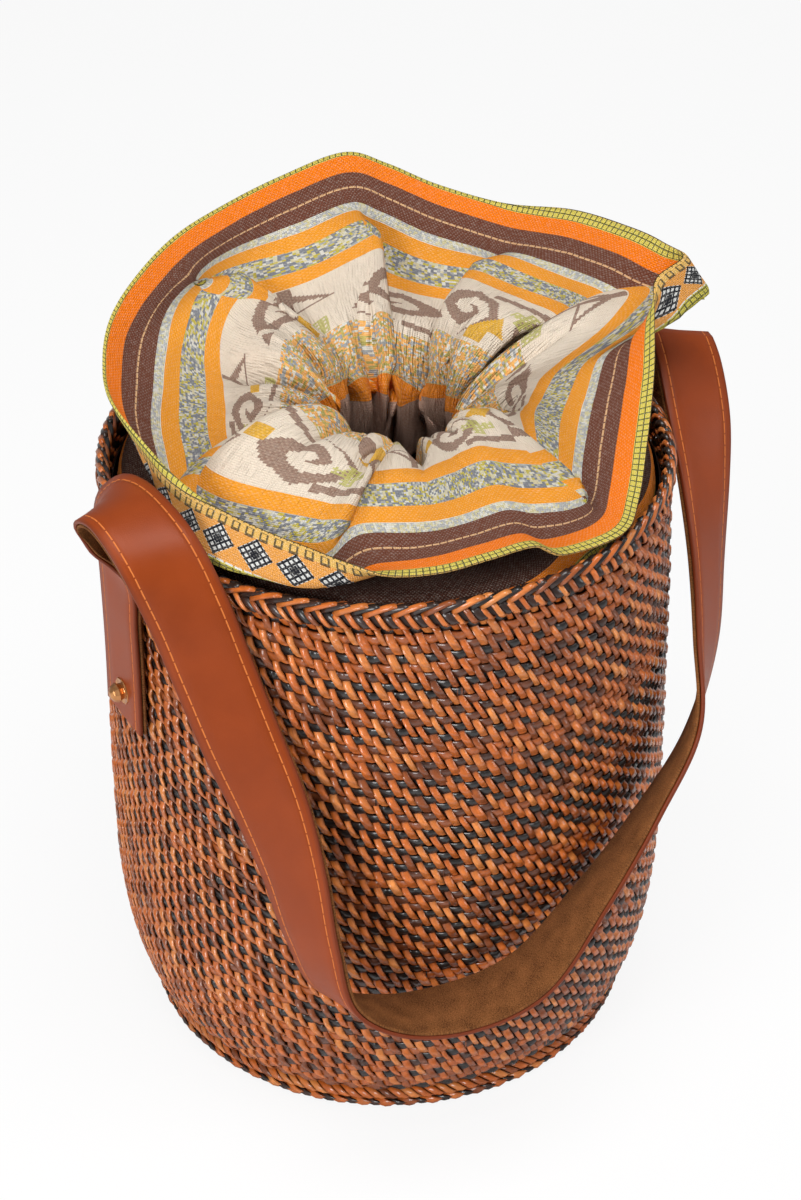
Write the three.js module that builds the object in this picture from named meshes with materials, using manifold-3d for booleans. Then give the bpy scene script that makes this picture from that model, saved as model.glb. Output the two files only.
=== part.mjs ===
// Round woven rattan bag with a printed cloth collar and one long leather shoulder strap.
// Millimetres. +Z is up, the origin is the middle of the base on the ground, the strap is
// fixed on the -X and +X sides, and it hangs down over the front, which is -Y.
import * as THREE from 'three';
import { mergeVertices } from 'three/addons/utils/BufferGeometryUtils.js';
import Module from 'manifold-3d';

const wasm = await Module();
wasm.setup();

// Fits
const clearance = 0.3;
const halfClearance = clearance / 2;
const roundSides = 48;

// Basket: each radius of the wall and of the foot follows the rim's
const basketHeight = 260;
const rimRadius = 111;
const rimWidth = 5.6;
const rimHeight = 12;
const rimRound = 1.6;
const wallThickness = 3.5;
const heelInset = 7;
const heelRadius = rimRadius - heelInset;
const heelRise = 17;
const bellySwell = 5;
const bellyRadius = rimRadius + bellySwell;
const bellyHeight = 72;
const shoulderSwell = 2.4;
const shoulderRadius = rimRadius + shoulderSwell;
const shoulderHeight = 185;
const wallRows = 12;
const weaveCourses = 30;
const courseDepth = 1.2;

// Foot border: a wrapped ring over a plaited row, with the floor flush inside it
const wrapOverhang = 1;
const wrapRadius = heelRadius + wrapOverhang;
const wrapWidth = 8;
const wrapHeight = 5.5;
const plaitInset = 1.6;
const plaitRadius = wrapRadius - plaitInset;
const plaitWidth = 7;
const plaitHeight = 4.2;
const footRound = 1;
const floorThickness = 4;

// Cloth
const liningThickness = 1;
const liningSlack = 2.4;
const liningCorner = 5;
const sleeveDepth = 16;
const sleeveThickness = 1.2;
const sleeveShoulder = 5;
const sleeveDrop = 2;
const neckDepth = 8;
const neckRadius = 25;
const casingWidth = 8;
const casingHeight = 9;
const casingCloth = 1.4;
const casingRound = 1;
const elasticHeight = 4;
const collarThickness = 2;
const collarPuff = 15;
const collarCrest = 20;
const collarSeat = 2;
const collarBowl = 1.15;
const collarLateBowl = 1.6;
const collarBowlRise = 16;
const collarFolds = 12;
const collarFoldDepth = 3;
const collarFoldRound = 0.6;
const collarSteps = 60;
const collarRows = 10;

// The collar's free edge: angle round the bag, radius as a share of the rim's, height over the
// rim as a share of collarRise, how much the edge stands up as a crest, and the puff inside it
// as a share of collarPuff
const collarRise = 70;
const collarEdge = [
  [-175, 0.9, 0.43, 0.5, 0.7], [-165, 0.9, 0.34, 0.8, 0.8], [-155, 0.928, 0.34, 1, 0.9],
  [-144, 0.937, 0.29, 1, 1], [-134, 0.946, 0.24, 1, 1], [-125, 0.937, 0.16, 1, 1],
  [-113, 0.919, 0.16, 0.75, 0.9], [-100, 0.919, 0.2, 0.25, 0.9], [-89, 0.919, 0.16, 0, 0.9],
  [-83, 0.964, 0.07, 0, 0.9], [-70, 1.009, 0.08, 0, 1], [-60, 0.964, 0.11, 0, 0.9],
  [-48, 0.919, 0.26, 0, 0.9], [-34, 0.91, 0.47, 0, 0.7], [-22, 0.91, 0.8, 0, 0.5],
  [-6, 0.865, 0.97, 0, 0.4], [17, 0.91, 0.81, 0, 0.4], [34, 0.973, 0.74, 0, 0.4],
  [49, 0.973, 0.81, 0, 0.4], [69, 1.009, 1, 0, 0.4], [82, 1.018, 0.89, 0, 0.4],
  [95, 1.018, 0.79, 0, 0.4], [117, 0.991, 0.69, 0, 0.4], [142, 0.973, 0.51, 0, 0.4],
  [158, 0.928, 0.44, 0.2, 0.5], [172, 0.9, 0.43, 0.3, 0.6],
];

// Strap: two plies sewn together along both edges
const strapWidth = 30;
const outerPly = 1.7;
const innerPly = 1.3;
const tabBottom = 171;
const tabTop = 238;
const tabLift = 1.6;
const strapStep = 9;
const strapStrips = 3;

// Rivets through the tabs and the wall
const rivetHeight = 183;
const rivetShank = 2;
const rivetHead = 4.6;
const rivetEdge = 1.2;
const rivetTable = 2.8;
const rivetTableHeight = 2.9;
const rivetDome = 3.4;
const capRadius = 5;
const capThickness = 1.6;
const capFloor = 0.5;
const boreLength = 40;
const rivetSides = 16;

// The strap's way from the left tab, over the front, to the right tab. Each stop has its place,
// as shares of the rim's radius to the right and back and of the hinge line's height, and the
// direction across the band, from the edge nearer the front of the tab to the other. The
// band's outer face lies on the hinge line at the top of each fold.
const hingeY = -15;
const hingeRise = 19;
const hingeZ = basketHeight + hingeRise;

function stop(right, back, up, across) {
  return { at: [right * rimRadius, back * rimRadius, up * hingeZ], across };
}

function foldStop(right, across) {
  return { at: [right * rimRadius, hingeY, hingeZ - outerPly - halfClearance], across };
}

const leftFold = foldStop(-1.09, [1, 0, 0]);
const rightFold = foldStop(1.144, [-1, 0, 0]);
const strapStops = [
  stop(-1.063, 0, 0.903, [0.2, 0.97, 0.1]),
  stop(-1.09, -0.045, 0.957, [0.6, 0.8, 0.1]),
  leftFold,
  stop(-1.081, -0.243, 0.989, [0.97, 0.2, 0.08]),
  stop(-1.054, -0.378, 0.968, [0.96, 0.05, 0.2]),
  stop(-1, -0.477, 0.9, [0.9, -0.28, 0.36]),
  stop(-0.955, -0.55, 0.817, [0.87, -0.36, 0.4]),
  stop(-0.91, -0.64, 0.724, [0.82, -0.4, 0.43]),
  stop(-0.856, -0.73, 0.627, [0.67, -0.56, 0.45]),
  stop(-0.82, -0.811, 0.53, [0.48, -0.76, 0.42]),
  stop(-0.802, -0.901, 0.43, [0.28, -0.88, 0.38]),
  stop(-0.757, -0.982, 0.348, [0.06, -0.92, 0.37]),
  stop(-0.595, -1.063, 0.308, [-0.18, -0.94, 0.26]),
  stop(-0.36, -1.144, 0.305, [-0.22, -0.96, 0.14]),
  stop(-0.126, -1.198, 0.337, [-0.1, -0.97, 0.2]),
  stop(0.144, -1.162, 0.419, [-0.14, -0.88, 0.44]),
  stop(0.432, -1.072, 0.498, [-0.2, -0.76, 0.62]),
  stop(0.694, -0.955, 0.573, [-0.36, -0.67, 0.65]),
  stop(0.847, -0.793, 0.667, [-0.68, -0.46, 0.57]),
  stop(0.946, -0.631, 0.76, [-0.81, -0.38, 0.45]),
  stop(1.018, -0.486, 0.849, [-0.92, -0.18, 0.33]),
  stop(1.09, -0.342, 0.925, [-0.97, 0.08, 0.24]),
  stop(1.135, -0.234, 0.971, [-0.98, 0.05, 0.15]),
  rightFold,
  stop(1.126, -0.054, 0.968, [-0.85, 0.45, 0.2]),
  stop(1.081, -0.009, 0.91, [-0.4, 0.9, 0.15]),
];

// Finishes
function finish(color, roughness, metalness = 0) {
  return new THREE.MeshStandardMaterial({ color, roughness, metalness });
}

const rattan = finish(0xb5652f, 0.45);
const darkRattan = finish(0x6e3d20, 0.5);
const printedCloth = finish(0xd9a04a, 0.9);
const brownCloth = finish(0x5a3325, 0.9);
const leather = finish(0xa5461b, 0.45);
const suede = finish(0x8c5528, 0.85);
const brass = finish(0xb87a45, 0.3, 1);
const elastic = finish(0xe8e2d8, 0.8);

const bag = new THREE.Group();

function addPiece(name, geometry, material) {
  const mesh = new THREE.Mesh(geometry, material);
  mesh.name = name;
  bag.add(mesh);
  return mesh;
}

// A ring or shell of revolution about Z from a closed outline of [radius, height] points,
// listed anticlockwise as seen with the radius to the right and the height up.
function ring(outline) {
  const closed = [...outline, outline[0]].map(([r, z]) => new THREE.Vector2(r, z));
  return new THREE.LatheGeometry(closed, roundSides).rotateX(Math.PI / 2);
}

function box(r0, r1, z0, z1) {
  return [[r0, z0], [r1, z0], [r1, z1], [r0, z1]];
}

// Joins and cuts
function toManifold(geometry) {
  const bare = geometry.clone();
  bare.deleteAttribute('normal');
  bare.deleteAttribute('uv');
  const merged = mergeVertices(bare, 1e-4);
  const solid = new wasm.Manifold(new wasm.Mesh({
    numProp: 3,
    vertProperties: new Float32Array(merged.attributes.position.array),
    triVerts: new Uint32Array(merged.index.array),
  }));
  return solid;
}

function toGeometry(solid) {
  const { vertProperties, triVerts, numProp } = solid.getMesh();
  const points = new Float32Array((vertProperties.length / numProp) * 3);
  for (let i = 0; i * numProp < vertProperties.length; i++) {
    points.set(vertProperties.subarray(i * numProp, i * numProp + 3), i * 3);
  }
  const geometry = new THREE.BufferGeometry();
  geometry.setAttribute('position', new THREE.BufferAttribute(points, 3));
  geometry.setIndex([...triVerts]);
  geometry.computeVertexNormals();
  return geometry;
}

function cut(geometry, ...tools) {
  return toGeometry(tools.reduce((solid, tool) => solid.subtract(toManifold(tool)), toManifold(geometry)));
}

// A bore along X on one side of the bag, for a rivet
const boreRadius = rivetShank + clearance;

function rivetBore(side) {
  const bore = new THREE.CylinderGeometry(boreRadius, boreRadius, boreLength, rivetSides);
  return bore.rotateZ(Math.PI / 2).translate(side * bellyRadius, 0, rivetHeight);
}

// The basket's wall: near vertical, fullest low down, and drawn in to the foot
const footTop = plaitHeight + clearance + wrapHeight;
const wallBottom = footTop + clearance;
const wallTop = basketHeight - rimHeight - clearance;
const wallCurve = new THREE.SplineCurve([
  new THREE.Vector2(heelRadius, wallBottom),
  new THREE.Vector2(rimRadius, wallBottom + heelRise),
  new THREE.Vector2(bellyRadius, bellyHeight),
  new THREE.Vector2(shoulderRadius, shoulderHeight),
  new THREE.Vector2(rimRadius - clearance, wallTop),
]);
const wallOutline = wallCurve.getPoints(wallRows).map((p) => [p.x, p.y]);

function wallRadius(z) {
  const next = wallOutline.findIndex(([, height]) => height >= z);
  if (next < 0) return wallOutline[wallRows][0];
  if (next === 0) return wallOutline[0][0];
  const [r0, z0] = wallOutline[next - 1];
  const [r1, z1] = wallOutline[next];
  return r0 + ((r1 - r0) * (z - z0)) / (z1 - z0);
}

// Each course of the weave stands out in a round of its own
const courseHeight = (wallTop - wallBottom) / weaveCourses;
const wovenOutline = [];
for (let half = 0; half <= 2 * weaveCourses; half++) {
  const z = wallBottom + (half * courseHeight) / 2;
  const depth = half % 2 ? 0 : courseDepth;
  wovenOutline.push([wallRadius(Math.min(z, wallTop)) - depth, z]);
}
const wallInside = wallOutline.map(([r, z]) => [r - wallThickness, z]).reverse();
addPiece('basket_wall', cut(ring([...wovenOutline, ...wallInside]), rivetBore(-1), rivetBore(1)), rattan);

// The rim border: the ends of the uprights plaited over each other on top of the wall
const rimInside = rimRadius - rimWidth;
addPiece('rim_border', ring([
  [rimInside, basketHeight - rimHeight],
  [rimRadius, basketHeight - rimHeight],
  [rimRadius + rimRound / 2, basketHeight - rimHeight / 2],
  [rimRadius, basketHeight - rimRound],
  [rimRadius - rimRound, basketHeight],
  [rimInside + rimRound, basketHeight],
  [rimInside, basketHeight - rimRound],
]), rattan);

// The foot border
const wrapBottom = plaitHeight + clearance;
const wrapInside = wrapRadius - wrapWidth;
addPiece('foot_wrap', ring([
  [wrapInside, wrapBottom],
  [wrapRadius - footRound, wrapBottom],
  [wrapRadius, wrapBottom + wrapHeight / 2],
  [wrapRadius - footRound, footTop],
  [wrapInside, footTop],
]), rattan);
const plaitInside = plaitRadius - plaitWidth;
addPiece('foot_plait', ring([
  [plaitInside, 0],
  [plaitRadius - footRound, 0],
  [plaitRadius, plaitHeight / 2],
  [plaitRadius - footRound, plaitHeight],
  [plaitInside, plaitHeight],
]), darkRattan);

// The woven floor, flush with the foot border
function disc(radius, z0, z1) {
  const outline = [[0, z0], [radius, z0], [radius, z1], [0, z1]].map(([r, z]) => new THREE.Vector2(r, z));
  return new THREE.LatheGeometry(outline, roundSides).rotateX(Math.PI / 2);
}

const floorRadius = plaitInside - clearance;
addPiece('woven_floor', disc(floorRadius, 0, floorThickness), darkRattan);

// The cloth lining: a floor, and a wall that stands round it and hangs from the sleeve
const liningBase = floorThickness + clearance;
const liningFloorRadius = floorRadius - liningThickness - clearance;
addPiece('lining_floor', disc(liningFloorRadius, liningBase, liningBase + liningThickness), brownCloth);
const liningTop = basketHeight - sleeveDepth - clearance;
const liningOutside = [[floorRadius, liningBase], [floorRadius, footTop]];
for (const [r, z] of wallOutline) {
  if (z > footTop + liningCorner && z < liningTop) {
    liningOutside.push([r - wallThickness - liningSlack, z]);
  }
}
liningOutside.push([wallRadius(liningTop) - wallThickness - liningSlack, liningTop]);
const liningInside = liningOutside.map(([r, z]) => [r - liningThickness, z]).reverse();
addPiece('lining_wall', ring([...liningOutside, ...liningInside]), brownCloth);

// The sleeve: sewn inside the rim, then drawn in to the neck
const sleeveRadius = rimInside - clearance;
const neckOutside = neckRadius + casingWidth;
const sleeveBottom = basketHeight - sleeveDepth;
const sleeveTop = basketHeight - sleeveDrop;
const sleeveEnd = basketHeight - neckDepth;
addPiece('collar_sleeve', ring([
  [sleeveRadius - sleeveThickness, sleeveBottom],
  [sleeveRadius, sleeveBottom],
  [sleeveRadius, sleeveTop - sleeveShoulder],
  [sleeveRadius - sleeveShoulder, sleeveTop],
  [neckOutside, sleeveEnd],
  [neckRadius, sleeveEnd],
  [neckRadius, sleeveEnd - sleeveThickness],
  [neckOutside, sleeveEnd - sleeveThickness],
  [sleeveRadius - sleeveShoulder - sleeveThickness, sleeveTop - sleeveThickness],
  [sleeveRadius - sleeveThickness, sleeveTop - sleeveShoulder - sleeveThickness],
]), brownCloth);

// The neck: a casing of folded cloth, open below, with the elastic lying inside it
const casingBottom = sleeveEnd + clearance;
const casingTop = casingBottom + casingHeight;
addPiece('neck_casing', ring([
  [neckRadius, casingBottom],
  [neckRadius + casingCloth, casingBottom],
  [neckRadius + casingCloth, casingTop - casingCloth],
  [neckOutside - casingCloth, casingTop - casingCloth],
  [neckOutside - casingCloth, casingBottom],
  [neckOutside, casingBottom],
  [neckOutside, casingTop - casingRound],
  [neckOutside - casingRound, casingTop],
  [neckRadius + casingRound, casingTop],
  [neckRadius, casingTop - casingRound],
]), printedCloth);
const elasticTop = casingTop - casingCloth - clearance;
addPiece('neck_elastic', ring(box(
  neckRadius + casingCloth + clearance,
  neckOutside - casingCloth - clearance,
  elasticTop - elasticHeight,
  elasticTop,
)), elastic);

// The collar: a wide frill that flares up behind, lies low in front and stands up as a crest on
// the front left, with puffed folds round the neck
function aroundBag([angle, radius, height]) {
  const a = THREE.MathUtils.degToRad(angle);
  const r = radius * rimRadius;
  return new THREE.Vector3(r * Math.cos(a), r * Math.sin(a), height * collarRise);
}

const collarCurve = new THREE.CatmullRomCurve3(collarEdge.map(aroundBag), true);
const collarDrape = new THREE.CatmullRomCurve3(
  collarEdge.map(([, , , crest, puff]) => new THREE.Vector3(crest, puff * collarPuff, 0)),
  true,
);
const collarStart = neckRadius + casingWidth / 2;
const collarFoot = casingTop + clearance + collarThickness - basketHeight;

// A way down the cloth goes from its free edge to the neck. Where it lies, its stops are shares
// of the way and of the puff. Where it stands, the first ones are shares of the crest, in and down.
const lyingStops = [[0, 0], [0.12, 0], [0.22, 0], [0.35, 0.1], [0.55, 0.6], [0.78, 1], [1, 0]];
const crestStops = [[0, 0], [0.05, 0.55], [0.25, 0.95], [0.75, 1]];
const behindCrestStops = [[0.5, 0.8], [0.78, 1.1], [1, 0]];

function collarWay(edge, crest, puff) {
  const out = Math.hypot(edge.x, edge.y);
  const rise = edge.z - collarFoot;
  const bowl = collarBowl + collarLateBowl * Math.exp(-rise / collarBowlRise);
  const crestDepth = Math.min(collarCrest, edge.z - collarSeat);
  const lying = ([share, lift]) => new THREE.Vector2(
    out + (collarStart - out) * share,
    collarFoot + rise * (1 - share) ** bowl + lift * puff,
  );
  const standing = ([inward, down]) => new THREE.Vector2(
    out - inward * collarCrest,
    edge.z - down * crestDepth,
  );
  const low = lyingStops.map(lying);
  const high = [...crestStops.map(standing), ...behindCrestStops.map(lying)];
  return new THREE.SplineCurve(low.map((point, i) => point.lerp(high[i], crest)));
}

const collarWays = [];
for (let step = 0; step < collarSteps; step++) {
  const t = collarCurve.getUtoTmapping(step / collarSteps);
  const edge = collarCurve.getPoint(t);
  const drape = collarDrape.getPoint(t);
  collarWays.push({ angle: Math.atan2(edge.y, edge.x), way: collarWay(edge, drape.x, drape.y) });
}

function collarPoint(step, across) {
  const { angle, way } = collarWays[((step % collarSteps) + collarSteps) % collarSteps];
  const share = 1 - across;
  const { x: radius, y: height } = way.getPoint(share);
  const wave = Math.abs(Math.cos((Math.PI * collarFolds * step) / collarSteps));
  const round = wave ** collarFoldRound - collarFoldRound;
  const fold = collarFoldDepth * round * Math.sin(Math.PI * Math.sqrt(across)) ** 2;
  return new THREE.Vector3(radius * Math.cos(angle), radius * Math.sin(angle), basketHeight + height + fold);
}

function collarNormal(step, across) {
  const reach = 0.02;
  const inner = Math.max(0, across - reach);
  const outer = Math.min(1, across + reach);
  const out = collarPoint(step, outer).sub(collarPoint(step, inner));
  const round = collarPoint(step + 1, across).sub(collarPoint(step - 1, across));
  return out.cross(round).normalize();
}

function collar() {
  const points = [];
  for (let side = 0; side < 2; side++) {
    for (let step = 0; step < collarSteps; step++) {
      for (let row = 0; row <= collarRows; row++) {
        const across = row / collarRows;
        const p = collarPoint(step, across);
        if (side === 1) p.addScaledVector(collarNormal(step, across), -collarThickness);
        points.push(p.x, p.y, p.z);
      }
    }
  }
  const perSide = collarSteps * (collarRows + 1);
  const at = (side, step, row) => side * perSide + (step % collarSteps) * (collarRows + 1) + row;
  const faces = [];
  const quad = (a, b, c, d) => faces.push(a, b, c, a, c, d);
  for (let step = 0; step < collarSteps; step++) {
    for (let row = 0; row < collarRows; row++) {
      quad(at(0, step, row), at(0, step, row + 1), at(0, step + 1, row + 1), at(0, step + 1, row));
      quad(at(1, step, row), at(1, step + 1, row), at(1, step + 1, row + 1), at(1, step, row + 1));
    }
    const last = collarRows;
    quad(at(0, step, last), at(1, step, last), at(1, step + 1, last), at(0, step + 1, last));
    quad(at(0, step, 0), at(0, step + 1, 0), at(1, step + 1, 0), at(1, step, 0));
  }
  const geometry = new THREE.BufferGeometry();
  geometry.setAttribute('position', new THREE.Float32BufferAttribute(points, 3));
  geometry.setIndex(faces);
  geometry.computeVertexNormals();
  return geometry;
}

addPiece('collar', collar(), printedCloth);

// The strap: one smooth way from the foot of the left tab to the foot of the right tab. A tab
// lies on the wall up to its rivet, and lifts a little off it above.
const tabHeights = [0, 0.3, 0.65, 1].map((part) => rivetHeight + (tabTop - rivetHeight) * part);

function tabStop(side, z) {
  const above = Math.max(0, (z - rivetHeight) / (tabTop - rivetHeight));
  const middle = wallRadius(z) + clearance + innerPly + halfClearance + tabLift * above ** 2;
  return { at: [side * middle, 0, z], across: [0, 1, 0] };
}

const leftTab = [tabBottom, ...tabHeights].map((z) => tabStop(-1, z));
const rightTab = [tabBottom, ...tabHeights].map((z) => tabStop(1, z)).reverse();
const stops = [...leftTab, ...strapStops, ...rightTab];
const lastStop = stops.length - 1;
const strapPath = new THREE.CatmullRomCurve3(stops.map(({ at }) => new THREE.Vector3(...at)), false, 'centripetal');

// The band's frame at a place along the stops: its middle, the direction across it, and the
// direction out of its smooth face
function strapFrame(place) {
  const index = Math.min(Math.floor(place), lastStop - 1);
  const middle = strapPath.getPoint(place / lastStop);
  const along = strapPath.getTangent(place / lastStop);
  const across = new THREE.Vector3(...stops[index].across)
    .lerp(new THREE.Vector3(...stops[index + 1].across), place - index);
  across.addScaledVector(along, -across.dot(along)).normalize();
  const out = along.clone().cross(across);
  return { middle, across, out };
}

// Places along the stops between two of them, about strapStep apart, with a gap kept from each
// end that meets the band's other part
function strapPlaces(from, to, gapAtFrom, gapAtTo) {
  const fine = 40;
  const places = [];
  const lengths = [0];
  for (let i = 0; i <= (to - from) * fine; i++) {
    places.push(from + i / fine);
    if (i > 0) {
      const [here, before] = [places[i], places[i - 1]].map((place) => strapPath.getPoint(place / lastStop));
      lengths.push(lengths[i - 1] + here.distanceTo(before));
    }
  }
  const length = lengths.at(-1) - gapAtFrom - gapAtTo;
  const count = Math.ceil(length / strapStep);
  const picked = [];
  for (let i = 0; i <= count; i++) {
    const want = gapAtFrom + (length * i) / count;
    const next = Math.max(1, lengths.findIndex((reached) => reached >= want - 1e-9));
    const part = (want - lengths[next - 1]) / (lengths[next] - lengths[next - 1]);
    picked.push(places[next - 1] + (places[next] - places[next - 1]) * part);
  }
  return picked;
}

// One ply of the band, from its inner to its outer face, measured from the middle of the band
function ply(places, inner, outer) {
  const loop = [];
  for (let k = 0; k <= strapStrips; k++) loop.push([k / strapStrips - 0.5, inner]);
  for (let k = strapStrips; k >= 0; k--) loop.push([k / strapStrips - 0.5, outer]);
  const points = [];
  for (const place of places) {
    const { middle, across, out } = strapFrame(place);
    for (const [part, face] of loop) {
      const p = middle.clone().addScaledVector(across, part * strapWidth).addScaledVector(out, face);
      points.push(p.x, p.y, p.z);
    }
  }
  const size = loop.length;
  const faces = [];
  for (let i = 0; i + 1 < places.length; i++) {
    for (let k = 0; k < size; k++) {
      const a = size * i + k;
      const b = size * i + ((k + 1) % size);
      // both faces are split along the same diagonal, so that the two plies fit each other
      if (k < strapStrips) faces.push(a, b, b + size, a, b + size, a + size);
      else faces.push(a, b, a + size, b, b + size, a + size);
    }
  }
  const end = size * (places.length - 1);
  for (let k = 0; k < strapStrips; k++) {
    const [a, b, c, d] = [k, k + 1, size - 2 - k, size - 1 - k];
    faces.push(a, c, b, a, d, c);
    faces.push(end + a, end + b, end + c, end + a, end + c, end + d);
  }
  const geometry = new THREE.BufferGeometry();
  geometry.setAttribute('position', new THREE.Float32BufferAttribute(points, 3));
  geometry.setIndex(faces);
  geometry.computeVertexNormals();
  return geometry;
}

function outerPlyOf(places) {
  return ply(places, halfClearance, halfClearance + outerPly);
}

function innerPlyOf(places) {
  return ply(places, -halfClearance - innerPly, -halfClearance);
}

const leftCut = stops.indexOf(leftFold);
const rightCut = stops.indexOf(rightFold);
const bandPlaces = strapPlaces(leftCut, rightCut, halfClearance, halfClearance);
addPiece('strap_outer_ply', outerPlyOf(bandPlaces), leather);
addPiece('strap_inner_ply', innerPlyOf(bandPlaces), suede);
const leftPlaces = strapPlaces(0, leftCut, 0, halfClearance);
const rightPlaces = strapPlaces(rightCut, lastStop, halfClearance, 0);
for (const [name, side, places] of [['left', -1, leftPlaces], ['right', 1, rightPlaces]]) {
  addPiece(`${name}_end_outer_ply`, cut(outerPlyOf(places), rivetBore(side)), leather);
  addPiece(`${name}_end_inner_ply`, cut(innerPlyOf(places), rivetBore(side)), suede);
}

// The rivets: a faceted dome and shank from outside, and a cap on the shank inside the wall
function turned(outline, side) {
  const profile = outline.map(([r, h]) => new THREE.Vector2(r, h));
  const geometry = new THREE.LatheGeometry(profile, rivetSides);
  return geometry.rotateZ(-side * Math.PI / 2).translate(0, 0, rivetHeight);
}

const wallAtRivet = wallRadius(rivetHeight);
const plyFace = wallAtRivet + clearance + innerPly + clearance + outerPly;
const headSeat = plyFace + clearance;
const wallInsideAtRivet = wallAtRivet - wallThickness;
const capFace = wallInsideAtRivet * Math.cos(Math.asin(capRadius / wallInsideAtRivet)) - clearance;
const capBack = capFace - capThickness;
const shankEnd = capBack + capFloor + clearance;
for (const [name, side] of [['left', -1], ['right', 1]]) {
  addPiece(`${name}_rivet`, turned([
    [0, shankEnd],
    [rivetShank, shankEnd],
    [rivetShank, headSeat],
    [rivetHead, headSeat],
    [rivetHead, headSeat + rivetEdge],
    [rivetTable, headSeat + rivetTableHeight],
    [0, headSeat + rivetDome],
  ], side), brass);
  addPiece(`${name}_rivet_cap`, turned([
    [0, capBack],
    [capRadius, capBack],
    [capRadius, capFace],
    [boreRadius, capFace],
    [boreRadius, capBack + capFloor],
    [0, capBack + capFloor],
  ], side), brass);
}

export default bag;
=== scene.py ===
import math
import random

import bmesh
import bpy
import numpy as np
from mathutils import Matrix, Vector


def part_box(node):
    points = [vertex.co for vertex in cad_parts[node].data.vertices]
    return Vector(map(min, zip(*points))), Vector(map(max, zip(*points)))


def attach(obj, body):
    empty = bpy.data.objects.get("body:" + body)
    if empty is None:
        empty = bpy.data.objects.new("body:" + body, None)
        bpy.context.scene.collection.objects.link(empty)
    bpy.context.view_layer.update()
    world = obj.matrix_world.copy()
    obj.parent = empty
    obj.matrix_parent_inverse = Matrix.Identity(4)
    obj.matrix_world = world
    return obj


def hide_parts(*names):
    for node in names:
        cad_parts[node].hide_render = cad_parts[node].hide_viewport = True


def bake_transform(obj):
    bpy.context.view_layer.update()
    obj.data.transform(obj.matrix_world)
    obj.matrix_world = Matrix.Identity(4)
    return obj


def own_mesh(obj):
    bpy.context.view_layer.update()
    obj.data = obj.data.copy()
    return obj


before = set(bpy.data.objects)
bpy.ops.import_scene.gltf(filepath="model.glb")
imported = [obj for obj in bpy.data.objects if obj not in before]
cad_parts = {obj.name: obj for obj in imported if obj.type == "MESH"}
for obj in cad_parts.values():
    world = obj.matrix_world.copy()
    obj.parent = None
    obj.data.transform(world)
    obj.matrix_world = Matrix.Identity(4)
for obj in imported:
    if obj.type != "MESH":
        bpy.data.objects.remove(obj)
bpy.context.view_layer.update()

# The view: the bag stands on a plain white table and is seen from its front left corner,
# 35 degrees from above. Big soft lamps hang above, on the left and on the right.
mm = 0.001
scene = bpy.context.scene
scene.view_settings.view_transform = "Standard"

view_azimuth = math.radians(-30)
view_elevation = math.radians(35.5)
view_distance = 950 * mm
view_side_step = 5.5 * mm
view_height = 184.1 * mm
picture_width = 801
focal_pixels = 2350
sensor = 36
to_viewer = Vector((
    math.sin(view_azimuth) * math.cos(view_elevation),
    -math.cos(view_azimuth) * math.cos(view_elevation),
    math.sin(view_elevation),
))
to_right = Vector((math.cos(view_azimuth), math.sin(view_azimuth), 0))
camera = bpy.data.objects.new("camera", bpy.data.cameras.new("camera"))
scene.collection.objects.link(camera)
camera.location = to_right * view_side_step + Vector((0, 0, view_height)) + to_viewer * view_distance
camera.rotation_euler = to_viewer.to_track_quat("Z", "Y").to_euler()
camera.data.sensor_fit = "HORIZONTAL"
camera.data.sensor_width = sensor
camera.data.lens = sensor * focal_pixels / picture_width
camera.data.clip_start = 10 * mm
scene.camera = camera


class Value:
    """A socket of a material, so that its maths reads as plain sums."""

    def __init__(self, paint, socket):
        self.paint = paint
        self.socket = socket

    def math(self, operation, *others):
        return self.paint.node("ShaderNodeMath", {"operation": operation}, self, *others)

    def __add__(self, other):
        return self.math("ADD", other)

    def __sub__(self, other):
        return self.math("SUBTRACT", other)

    def __mul__(self, other):
        return self.math("MULTIPLY", other)

    def __truediv__(self, other):
        return self.math("DIVIDE", other)

    def __pow__(self, other):
        return self.math("POWER", other)

    def __lt__(self, other):
        return self.math("LESS_THAN", other)

    def __gt__(self, other):
        return self.math("GREATER_THAN", other)

    def __rsub__(self, other):
        return self.paint.node("ShaderNodeMath", {"operation": "SUBTRACT"}, other, self)

    __radd__ = __add__
    __rmul__ = __mul__


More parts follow.
